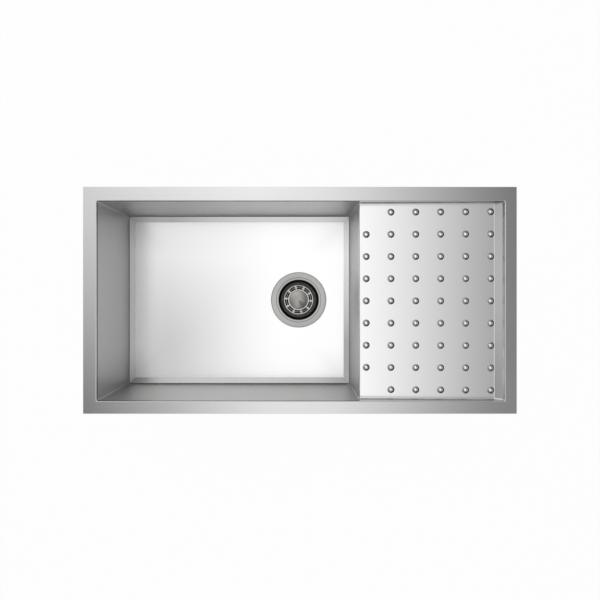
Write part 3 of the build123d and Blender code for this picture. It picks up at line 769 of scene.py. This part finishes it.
def hex_nut(flats, bore_outline, low, high, at=drain, collar=0.0, steps=72):
    """A hexagon nut with chamfered corners, a bore drawn from low to high, and a collar where asked."""
    apothem = flats / 2
    corner = apothem / cos(pi / HEX_SIDES)
    chamfer = (corner - apothem) * tan(pi / HEX_SIDES)
    hex_top = high - collar
    parts = [index / 4 for index in range(5)]
    outer = [(apothem, low + chamfer * part) for part in parts]
    if collar:
        edge = collar / 3
        wide = corner + 0.2 * MM
        inner = bore_outline[-1][0]
        ring = [(apothem, hex_top, 0), (wide, hex_top, edge), (wide, high, edge), (inner, high, 0)]
        outer += rounded(ring)
    else:
        outer += [(apothem, high - chamfer * part) for part in reversed(parts)]

    def six_sided(radius, height, angle):
        """Change of radius that makes a round outline a hexagon."""
        if abs(radius - apothem) > TINY:
            return 0.0
        side = apothem / cos(angle % (tau / HEX_SIDES) - pi / HEX_SIDES)
        ends = [height - low] if collar else [height - low, high - height]
        part = min(1.0, min(ends) / chamfer)
        return min(side, apothem + (corner - apothem) * part) - apothem

    return spin(outer + bore_outline[::-1], steps, at, six_sided)


def eased_bore(radius, low, high, ease=0.2 * MM):
    """Outline of a plain bore with eased ends, from low to high."""
    return [(radius + ease, low), (radius, low + ease), (radius, high - ease), (radius + ease, high)]


def pad_shape(middle, along, across, size, detail):
    """A rubber pad with rounded corners, rounded edges and a groove inside its edge."""
    long, wide, thick = size
    out = along.cross(across)
    edge, groove = detail.pad_edge, detail.pad_groove
    groove_at = detail.pad_corner / 2
    profile = [(0.0, 0.0)]
    for step in range(5):
        angle = pi / 2 * step / 4
        profile.append((edge * (1 - cos(angle)), thick - edge * (1 - sin(angle))))
    profile += [(groove_at, thick), (groove_at + groove, thick - groove)]
    profile += [(groove_at + 2 * groove, thick - groove), (groove_at + 3 * groove, thick)]
    verts, faces = [], []
    for inset, height in profile:
        half_long, half_wide, turn = long / 2 - inset, wide / 2 - inset, detail.pad_corner - inset
        corners = [(x * half_long, y * half_wide, turn) for x, y in ((1, 1), (-1, 1), (-1, -1), (1, -1))]
        loop = rounded(corners, 6)
        count = len(loop)
        verts += [middle + along * u + across * v + out * height for u, v in loop]
    for row in range(len(profile) - 1):
        near, far = row * count, (row + 1) * count
        faces += [(near + i, near + (i + 1) % count, far + (i + 1) % count, far + i) for i in range(count)]
    faces.append(tuple(range(count))[::-1])
    faces.append(tuple(range(far, far + count)))
    return verts, faces


def claw_shape(stud, along, reach, tip, level, detail):
    """A claw's strap: a round end with a hole on the stud, and a turned-up tip cut into teeth."""
    half, thick = detail.claw_width / 2, detail.claw_sheet
    hole = detail.stud_radius + detail.running_fit
    columns = 2 * detail.claw_teeth
    round_steps = 4 * columns
    bend = detail.claw_bend + thick / 2
    straight = reach - detail.claw_bend - thick
    arc = bend * pi / 2
    upright = tip - thick / 2 - bend
    across = UP.cross(along)

    def put(distance, off, depth):
        """Point at a distance along the strap, off its middle line and at a depth in its sheet."""
        turn = min(max(distance - straight, 0.0), arc) / bend
        rest = max(distance - straight - arc, 0.0)
        out = min(distance, straight) + (bend - depth) * sin(turn)
        rise = thick / 2 + bend - (bend - depth) * cos(turn) + rest
        return Vector((stud.x, stud.y, level)) + along * out + across * off + UP * rise

    turns = [-pi / 4 + tau * step / round_steps for step in range(round_steps)]
    verts, faces = [], []
    for depth in (thick / 2, -thick / 2):
        verts += [put(hole * cos(turn), hole * sin(turn), depth) for turn in turns]
        for turn in turns:
            side = half / max(abs(cos(turn)), abs(sin(turn))) if cos(turn) > 0 else half
            verts.append(put(side * cos(turn), side * sin(turn), depth))
    below = 2 * round_steps
    for step in range(round_steps):
        follow = (step + 1) % round_steps
        rim, rim_follow = round_steps + step, round_steps + follow
        faces.append((step, rim, rim_follow, follow))
        faces.append((below + step, below + follow, below + rim_follow, below + rim))
        faces.append((step, follow, below + follow, below + step))
        if step >= columns:
            faces.append((rim, below + rim, below + rim_follow, rim_follow))

    even = [half * (2 * column / columns - 1) for column in range(columns + 1)]
    flared = [half * tan(turns[column]) for column in range(columns + 1)]
    rows = []
    for step in range(1, 5):
        part = step / 4
        offs = [before + (after - before) * part for before, after in zip(flared, even)]
        rows.append([(half + (straight - half) * part, off) for off in offs])
    rows += [[(straight + arc * step / 6, off) for off in even] for step in range(1, 7)]
    foot, top = straight + arc + upright - 1.5 * detail.claw_tooth, straight + arc + upright
    rows.append([(foot, off) for off in even])
    rows.append([(top - detail.claw_tooth * (1 - column % 2), off) for column, off in enumerate(even)])
    last_top = [round_steps + column for column in range(columns + 1)]
    last_low = [below + index for index in last_top]
    for row in rows:
        next_top = list(range(len(verts), len(verts) + columns + 1))
        verts += [put(distance, off, thick / 2) for distance, off in row]
        next_low = list(range(len(verts), len(verts) + columns + 1))
        verts += [put(distance, off, -thick / 2) for distance, off in row]
        for near, far in zip(range(columns), range(1, columns + 1)):
            faces.append((last_top[near], next_top[near], next_top[far], last_top[far]))
            faces.append((last_low[near], last_low[far], next_low[far], next_low[near]))
        for side in (0, columns):
            faces.append((last_top[side], last_low[side], next_low[side], next_top[side]))
        last_top, last_low = next_top, next_low
    for near, far in zip(range(columns), range(1, columns + 1)):
        faces.append((last_top[near], last_low[near], last_low[far], last_top[far]))
    return verts, faces


class SINK_OT_rim(Operator):
    """Brush the rim and finish the foam seal under it"""

    bl_idname = "sink.rim"
    bl_label = "Rim"

    def execute(self, context):
        coat(context.scene, "rim_steel", "deck_frame")
        coat(context.scene, "foam_seal", "rim_seal")
        return {"FINISHED"}


class SINK_OT_bowl(Operator):
    """Brush the bowl and lay the ground weld in each of its upright corners"""

    bl_idname = "sink.bowl"
    bl_label = "Bowl"

    def execute(self, context):
        scene, detail = context.scene, context.scene.sink_detail
        coat(scene, "bowl_steel", "bowl_shell")
        sheet, bead = detail.sheet, detail.weld_radius
        foot = floor_fold(detail)
        inset = sheet + detail.corner_radius * (1 - cos(pi / 4))
        lip = bowl_high.z - 0.2 * MM
        ends = ((bowl_low.x + inset, lip), (bowl_high.x - inset, lip - detail.seam_drop))
        beads = []
        for x, top in ends:
            for y in (bowl_low.y + inset, bowl_high.y - inset):
                beads.append(spin([(0.0, top), (bead, top - bead), (bead, foot), (0.0, foot)], 12, (x, y)))
        place_piece(scene, "corner_welds", joined(beads), "sink", "satin_steel", coating="bowl_steel")
        return {"FINISHED"}


class SINK_OT_drainboard(Operator):
    """Brush the drainboard"""

    bl_idname = "sink.drainboard"
    bl_label = "Drainboard"

    def execute(self, context):
        coat(context.scene, "satin_steel", "drainboard_panel")
        return {"FINISHED"}


class SINK_OT_braces(Operator):
    """Brush the hat channels under the drainboard and lay the spot welds on their flanges"""

    bl_idname = "sink.braces"
    bl_label = "Braces"

    def execute(self, context):
        scene, detail = context.scene, context.scene.sink_detail
        coat(scene, "satin_steel", *BRACES)
        slope = detail.board_fall / detail.board_length
        spot, sunk = detail.spot_radius, 0.1 * MM
        proud = 0.35 * MM
        spots = []
        for brace in BRACES:
            low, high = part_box(brace)
            middle, half = (low.x + high.x) / 2, (high.x - low.x) / 2
            count = round((high.y - low.y) / detail.spot_pitch)
            for side in (-1, 1):
                off = side * (half - detail.brace_flange / 2)
                under = high.z - half * slope + off * slope - detail.sheet
                top, end = under + sunk, under - proud
                cap = rounded([(0, top, 0), (spot, top, 0), (spot, end, proud), (0, end, 0)])
                for index in range(count):
                    y = low.y + (high.y - low.y) * (index + 0.5) / count
                    spots.append(spin(cap, 20, (middle + off, y)))
        place_piece(scene, "spot_welds", joined(spots), "sink", "satin_steel", coating="rim_steel")
        return {"FINISHED"}


class SINK_OT_sound_pads(Operator):
    """Mould the rubber pads on the bowl and under the drainboard"""

    bl_idname = "sink.sound_pads"
    bl_label = "Sound Pads"

    def execute(self, context):
        scene, detail = context.scene, context.scene.sink_detail
        slope = detail.board_fall / detail.board_length
        for node in PADS:
            low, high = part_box(node)
            size, middle = high - low, (low + high) / 2
            along, across = Vector((1, 0, 0)), Vector((0, -1, 0))
            if node.startswith(("back", "front")):
                side = 1 if node.startswith("back") else -1
                along, across = Vector((-side, 0, 0)), UP
            elif node.startswith(("left", "right")):
                side = 1 if node.startswith("right") else -1
                along, across = Vector((0, side, 0)), UP
            elif node.startswith("drainboard"):
                along = Vector((1, 0, slope)).normalized()
            out = along.cross(across)
            thick = min(size)
            if node.startswith("drainboard"):
                thick -= size.x * slope
            long = abs(size.dot(Vector(map(abs, along))))
            wide = abs(size.dot(Vector(map(abs, across))))
            shape = pad_shape(middle - out * thick / 2, along, across, (long, wide, thick), detail)
            name = node.replace("_pad", "_rubber")
            place_piece(scene, name, shape, "sink", "sound_pad_rubber", [node])
        return {"FINISHED"}


class SINK_OT_clips(Operator):
    """Thread the studs, cut the collared nuts and bend the toothed claws"""

    bl_idname = "sink.clips"
    bl_label = "Clips"

    def execute(self, context):
        scene, detail = context.scene, context.scene.sink_detail
        low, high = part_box("rim_studs")
        radius, base = detail.stud_radius, detail.stud_base
        seat, edge = high.z - detail.stud_foot, 0.4 * MM
        point, thread_end = detail.stud_point, low.z + detail.stud_thread
        stretch = (radius, low.z + point, thread_end, detail.stud_pitch)
        outline = [(0, low.z), (radius - point, low.z), *thread_rows(*stretch, per_turn=5)]
        outline += rounded([(radius, seat, 0), (base, seat, edge), (base, high.z, 0), (0, high.z, 0)])
        cut = threaded(0.4 * MM, stretch)
        shapes = [spin(outline, 20, stud, cut) for stud in CLAW_STUDS.values()]
        place_piece(scene, "threaded_studs", joined(shapes), "sink", "zinc_steel", ["rim_studs"])

        low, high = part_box("clip_nuts")
        bore = eased_bore(radius + detail.thread_fit, low.z, high.z)
        shapes = [
            hex_nut(detail.clip_flats, bore, low.z, high.z, stud, detail.clip_collar)
            for stud in CLAW_STUDS.values()
        ]
        place_piece(scene, "collared_nuts", joined(shapes), "sink", "zinc_steel", ["clip_nuts"])

        for claw, stud in CLAW_STUDS.items():
            low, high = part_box(claw)
            ends = [low.x - stud.x, high.x - stud.x, low.y - stud.y, high.y - stud.y]
            reach = max(ends, key=abs)
            along = Vector((1, 0, 0)) if reach in ends[:2] else Vector((0, 1, 0))
            along *= 1 if reach > 0 else -1
            shape = claw_shape(stud, along, abs(reach), high.z - low.z, low.z, detail)
            place_piece(scene, claw + "_strap", shape, claw, "zinc_steel", [claw], ease=0.25 * MM)
        return {"FINISHED"}


class SINK_OT_waste_body(Operator):
    """Turn the waste's flange and cup, with threads outside the cup and the outlet"""

    bl_idname = "sink.waste_body"
    bl_label = "Waste Body"

    def execute(self, context):
        scene, detail = context.scene, context.scene.sink_detail
        top, end = body_high.z, body_low.z
        flange = (body_high.x - body_low.x) / 2
        flange_under = top - detail.flange_thickness
        cup, wall = detail.cup_radius, detail.cup_wall
        ledge, step_at = top - detail.flange_step, cup + detail.flange_ledge
        floor, corner = top - detail.cup_depth, detail.cup_corner
        outlet, outlet_out = detail.outlet_radius, detail.outlet_radius + detail.outlet_wall
        cup_out, under = cup + wall, floor - wall
        thread_end = under + corner + 2 * wall
        outlet_thread = (outlet_out, end + 0.6 * MM, under - 3 * MM, detail.pipe_pitch)
        cup_thread = (cup_out, thread_end, flange_under - 2 * MM, detail.pipe_pitch)
        corners = [
            (flange, flange_under, 0.4 * MM),
            (flange, top, 0.6 * MM),
            (step_at, top, 0.25 * MM),
            (step_at, ledge, 0.2 * MM),
            (cup, ledge, 0.6 * MM),
            (cup, floor, corner),
            (outlet, floor, 1.5 * MM),
            (outlet, end, 0.3 * MM),
            (outlet_out, end, 0.3 * MM),
        ]
        corners += [(*point, 0) for point in thread_rows(*outlet_thread)]
        corners += [(outlet_out, under, 0), (cup_out, under, corner + wall)]
        corners += [(*point, 0) for point in thread_rows(*cup_thread)]
        corners += [(cup_out, flange_under, 0)]
        shape = spin(rounded(corners, 6), 144, drain, threaded(detail.pipe_thread, cup_thread, outlet_thread))
        place_piece(scene, "waste_body", shape, "sink", "turned_steel", ["strainer_body"])
        return {"FINISHED"}


class SINK_OT_clamp(Operator):
    """Build the gaskets, the friction washer and the lugged locknut"""

    bl_idname = "sink.clamp"
    bl_label = "Clamp Rings"

    def execute(self, context):
        scene, detail = context.scene, context.scene.sink_detail
        bore = detail.cup_radius + detail.cup_wall + detail.thread_fit
        rings = (
            ("flange_seal", "flange_gasket", "black_rubber", bore + 1.4 * MM, 0.3 * MM),
            ("under_seal", "underside_gasket", "black_rubber", bore, 0.7 * MM),
            ("slip_washer", "friction_washer", "fibre_washer", bore, 0.15 * MM),
        )
        for name, node, slot, inner, edge in rings:
            low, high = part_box(node)
            outline = flat_ring(inner, (high.x - low.x) / 2, low.z, high.z, edge)
            place_piece(scene, name, spin(outline, 128), "sink", slot, [node])

        low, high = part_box("locknut")
        lugs, reach = detail.lugs, detail.lug_reach
        outer = (high.x - low.x) / 2
        core, flank = outer - reach, 1.2 * MM

        def lugged(radius, height, angle):
            """Change of radius that the lugs make at a point."""
            if radius < core - flank:
                return 0.0
            off = abs((angle + pi / lugs) % (tau / lugs) - pi / lugs) * outer
            return reach * min(1.0, max(0.0, (detail.lug_width / 2 + flank / 2 - off) / flank))

        edge = 0.6 * MM
        corners = [(core, high.z, edge), (bore, high.z, edge), (bore, low.z, edge), (core, low.z, 2 * edge)]
        shape = spin(rounded(corners), 480, drain, lugged)
        place_piece(scene, "lugged_nut", shape, "sink", "cast_nut", ["locknut"])
        return {"FINISHED"}


class SINK_OT_tailpiece(Operator):
    """Build the tailpiece, its washer and its union nut, and finish the post's guide"""

    bl_idname = "sink.tailpiece"
    bl_label = "Tailpiece"

    def execute(self, context):
        scene, detail = context.scene, context.scene.sink_detail
        coat(scene, "turned_steel", "post_guide")
        low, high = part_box("tailpiece")
        pipe, bore = detail.tail_radius, detail.tail_radius - detail.tail_wall
        lip, under_lip = (high.x - low.x) / 2, high.z - detail.tail_flange
        corners = [
            (lip, high.z, 0.3 * MM),
            (bore, high.z, 0.5 * MM),
            (bore, low.z, 0.4 * MM),
            (pipe, low.z, 0.4 * MM),
            (pipe, under_lip, 0),
            (lip, under_lip, 0.3 * MM),
        ]
        place_piece(scene, "tail_pipe", spin(rounded(corners), 96), "sink", "turned_steel", ["tailpiece"])
        low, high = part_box("tailpiece_washer")
        shape = spin(flat_ring(bore, lip, low.z, high.z, 0.3 * MM), 96)
        place_piece(scene, "tail_washer", shape, "sink", "white_plastic", ["tailpiece_washer"])
        low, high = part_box("coupling_nut")
        seat = low.z + detail.union_lip
        mouth = detail.outlet_radius + detail.outlet_wall + detail.thread_fit
        throat = pipe + 0.9 * MM
        inner = [*eased_bore(throat, low.z, seat)[:2], (throat, seat), *eased_bore(mouth, seat, high.z)[1:]]
        inner.insert(3, (mouth, seat))
        shape = hex_nut(high.y - low.y, inner, low.z, high.z, drain, steps=144)
        place_piece(scene, "union_nut", shape, "sink", "cast_nut", ["coupling_nut"])
        return {"FINISHED"}


class SINK_OT_basket(Operator):
    """Finish the slotted basket and turn its knob"""

    bl_idname = "sink.basket"
    bl_label = "Basket"

    def execute(self, context):
        scene, detail = context.scene, context.scene.sink_detail
        coat(scene, "basket_steel", "strainer_basket")
        low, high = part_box("basket_knob")
        radius, neck = (high.x - low.x) / 2, detail.knob_neck
        edge = high.z - detail.knob_rise
        under = edge - detail.knob_rim
        hollow = detail.post_radius + 2.6 * MM
        hollow_top = low.z + detail.post_head + 0.2 * MM
        corners = [
            (0, high.z, 0),
            (radius, edge, 1.2 * MM),
            (radius, under, 1.2 * MM),
            (neck, under, 2.0 * MM),
            (neck, low.z, 0.3 * MM),
            (hollow, low.z, 0),
            (hollow, hollow_top, 0),
            (0, hollow_top, 0),
        ]
        shape = spin(rounded(corners, 6), 128)
        place_piece(scene, "turned_knob", shape, "basket", "knob_steel", ["basket_knob"])
        return {"FINISHED"}


class SINK_OT_stopper(Operator):
    """Turn the basket's threaded post and build the stopper on it"""

    bl_idname = "sink.stopper"
    bl_label = "Stopper"

    def execute(self, context):
        scene, detail = context.scene, context.scene.sink_detail
        shank, fit = detail.post_radius, detail.running_fit
        seal_low, seal_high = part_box("stopper_seal")
        plate_low, plate_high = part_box("stopper_plate")
        nut_low, nut_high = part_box("stopper_nut")
        basket_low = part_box("strainer_basket")[0]
        low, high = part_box("basket_post")
        head = (high.x - low.x) / 2
        head_under, body_top = high.z - detail.post_head, basket_low.z - 0.1 * MM
        stretch = (shank, nut_low.z - 2 * MM, seal_high.z, detail.post_pitch)
        corners = [(0, high.z, 0), (0, low.z, 0), (shank, low.z, 1.0 * MM)]
        corners += [(*point, 0) for point in thread_rows(*stretch)]
        corners += [
            (shank, plate_high.z, 0),
            (detail.post_body, plate_high.z, 0.3 * MM),
            (detail.post_body, body_top, 0.3 * MM),
            (shank, body_top, 0),
            (shank, head_under, 0),
            (head, head_under, 0.3 * MM),
            (head, high.z, 0.6 * MM),
        ]
        shape = spin(rounded(corners), 32, drain, threaded(0.5 * MM, stretch))
        place_piece(scene, "threaded_post", shape, "stopper", "post_steel", ["basket_post"])

        hole, seal, plate = shank + fit, (seal_high.x - seal_low.x) / 2, (plate_high.x - plate_low.x) / 2
        bead, groove = 1.2 * MM, 0.8 * MM
        corners = [
            (hole, seal_high.z, 0),
            (hole, seal_low.z, 0),
            (seal - 4 * groove, seal_low.z, 0.2 * MM),
            (seal - 4 * groove, seal_low.z + groove, 0.2 * MM),
            (seal - 2.5 * groove, seal_low.z + groove, 0.2 * MM),
            (seal - 2.5 * groove, seal_low.z, 0.2 * MM),
            (seal, seal_low.z, bead),
            (seal, seal_high.z, bead),
        ]
        shape = spin(rounded(corners), 96)
        place_piece(scene, "stopper_disc", shape, "stopper", "black_rubber", ["stopper_seal"])
        shape = spin(flat_ring(hole, plate, plate_low.z, plate_high.z, 0.35 * MM), 96)
        place_piece(scene, "stopper_cap", shape, "stopper", "post_steel", ["stopper_plate"])
        bore = eased_bore(hole, nut_low.z, nut_high.z)
        shape = hex_nut(nut_high.y - nut_low.y, bore, nut_low.z, nut_high.z)
        place_piece(scene, "stopper_hex", shape, "stopper", "post_steel", ["stopper_nut"])
        return {"FINISHED"}


def area_light(scene, name, size, at, aim, radiance, turn=0.0):
    """A soft box of an even radiance, aimed at a point and turned about its own axis."""
    lamp = bpy.data.lights.new(name, "AREA")
    lamp.shape = "RECTANGLE"
    lamp.size, lamp.size_y = size
    lamp.energy = radiance * size[0] * size[1] * pi
    lit = bpy.data.objects.new(name, lamp)
    lit.visible_camera = False
    lit.location = at
    towards = (Vector(aim) - Vector(at)).to_track_quat("-Z", "Y").to_euler()
    towards.z += turn
    lit.rotation_euler = towards
    scene.collection.objects.link(lit)


def white_floor(white):
    """A pale floor that the camera and the steel see as white, and that takes the object's shadow."""
    material, tree, shader = start_material("white_floor")
    tree.nodes.remove(shader)
    path = add_node(tree, "ShaderNodeLightPath").outputs
    seen = work_out(tree, "MAXIMUM", path["Is Camera Ray"], path["Is Glossy Ray"])
    seen = work_out(tree, "MAXIMUM", seen, path["Is Transmission Ray"])
    matt = add_node(tree, "ShaderNodeBsdfDiffuse", {"Color": (0.9, 0.9, 0.9, 1)})
    glow = add_node(tree, "ShaderNodeEmission", {"Color": (1, 1, 1, 1), "Strength": 1.0})
    part = work_out(tree, "MULTIPLY", seen, white)
    both = add_node(tree, "ShaderNodeMixShader", {0: part, 1: matt.outputs[0], 2: glow.outputs[0]})
    tree.links.new(both.outputs[0], tree.nodes["Material Output"].inputs["Surface"])
    return material


class SINK_OT_stage(Operator):
    """Set the floor, the lights and the camera"""

    bl_idname = "sink.stage"
    bl_label = "Stage"

    def execute(self, context):
        scene = context.scene
        stage = scene.sink_stage
        half, level = 30.0, cad_low.z - 2 * MM
        corners = [(-half, -half, level), (half, -half, level), (half, half, level), (-half, half, level)]
        floor_mesh = bpy.data.meshes.new("studio_floor")
        floor_mesh.from_pydata(corners, [], [(0, 1, 2, 3)])
        floor_mesh.materials.append(white_floor(stage.floor_white))
        floor = bpy.data.objects.new("studio_floor", floor_mesh)
        scene.collection.objects.link(floor)

        world = bpy.data.worlds.new("studio")
        world.use_nodes = True
        tree = world.node_tree
        towards = add_node(tree, "ShaderNodeTexCoord").outputs["Generated"]
        height = add_node(tree, "ShaderNodeSeparateXYZ", {0: towards}).outputs["Z"]
        wall = fall(tree, height, 0.1, 0.75)
        strength = choose(tree, wall, stage.world_light, stage.wall_light)
        tree.links.new(strength, tree.nodes["Background"].inputs["Strength"])
        tree.nodes["Background"].inputs["Color"].default_value = (1, 1, 1, 1)
        scene.world = world

        gap = 0.01
        top_layers, top_level = 6, 2.0
        top_size, top_growth = (0.6, 2.2), (0.4, 0.3)
        for layer in range(top_layers):
            at = Vector((0.0, 0.0, top_level + gap * layer))
            size = [start + growth * layer for start, growth in zip(top_size, top_growth)]
            area_light(scene, f"top_box_{layer}", size, at, at - UP, stage.top_light / top_layers)
        side_layers, side_level, turn = 5, 2.1, radians(-42)
        side_start, side_step, side_end, side_width = 0.5, 0.2, 2.5, 2.8
        away = Vector((-cos(turn), -sin(turn), 0.0))
        for layer in range(side_layers):
            near = side_start + side_step * layer
            at = away * (near + side_end) / 2 + UP * (side_level + gap * layer)
            size = (side_end - near, side_width)
            area_light(scene, f"side_box_{layer}", size, at, at - UP, stage.side_light / side_layers, turn)
        area_light(scene, "fill_box", (2.2, 1.3), (2.0, -0.2, 1.7), (0.0, 0.0, 0.0), stage.fill_light)

        camera_data = bpy.data.cameras.new("camera")
        camera_data.sensor_width = 36.0
        camera_data.lens = stage.lens
        camera_data.shift_x, camera_data.shift_y = stage.camera_shift
        camera = bpy.data.objects.new("camera", camera_data)
        camera.location = Vector(stage.camera_at) + UP * deck_top
        scene.collection.objects.link(camera)
        scene.camera = camera
        scene.view_settings.view_transform = "Standard"
        return {"FINISHED"}


class SINK_PT_sidebar(Panel):
    """Lists the sink's pieces and its stage"""

    bl_label = "Sink"
    bl_idname = "SINK_PT_sidebar"
    bl_space_type = "VIEW_3D"
    bl_region_type = "UI"
    bl_category = "Sink"

    def draw(self, context):
        for operator in OPERATORS:
            self.layout.operator(operator.bl_idname)


OPERATORS = (
    SINK_OT_rim,
    SINK_OT_bowl,
    SINK_OT_drainboard,
    SINK_OT_braces,
    SINK_OT_sound_pads,
    SINK_OT_clips,
    SINK_OT_waste_body,
    SINK_OT_clamp,
    SINK_OT_tailpiece,
    SINK_OT_basket,
    SINK_OT_stopper,
    SINK_OT_stage,
)
CLASSES = (SinkFinish, SinkDetail, SinkStage, *OPERATORS, SINK_PT_sidebar)


def register():
    """Add the sink's classes and settings to Blender."""
    for cls in CLASSES:
        bpy.utils.register_class(cls)
    bpy.types.Scene.sink_finish = PointerProperty(type=SinkFinish)
    bpy.types.Scene.sink_detail = PointerProperty(type=SinkDetail)
    bpy.types.Scene.sink_stage = PointerProperty(type=SinkStage)


def unregister():
    """Take the sink's settings and classes away again."""
    del bpy.types.Scene.sink_stage
    del bpy.types.Scene.sink_detail
    del bpy.types.Scene.sink_finish
    for cls in reversed(CLASSES):
        bpy.utils.unregister_class(cls)


def main():
    """Build every piece and the stage."""
    register()
    bpy.ops.sink.rim()
    bpy.ops.sink.bowl()
    bpy.ops.sink.drainboard()
    bpy.ops.sink.braces()
    bpy.ops.sink.sound_pads()
    bpy.ops.sink.clips()
    bpy.ops.sink.waste_body()
    bpy.ops.sink.clamp()
    bpy.ops.sink.tailpiece()
    bpy.ops.sink.basket()
    bpy.ops.sink.stopper()
    bpy.ops.sink.stage()


if __name__ == "__main__":
    main()
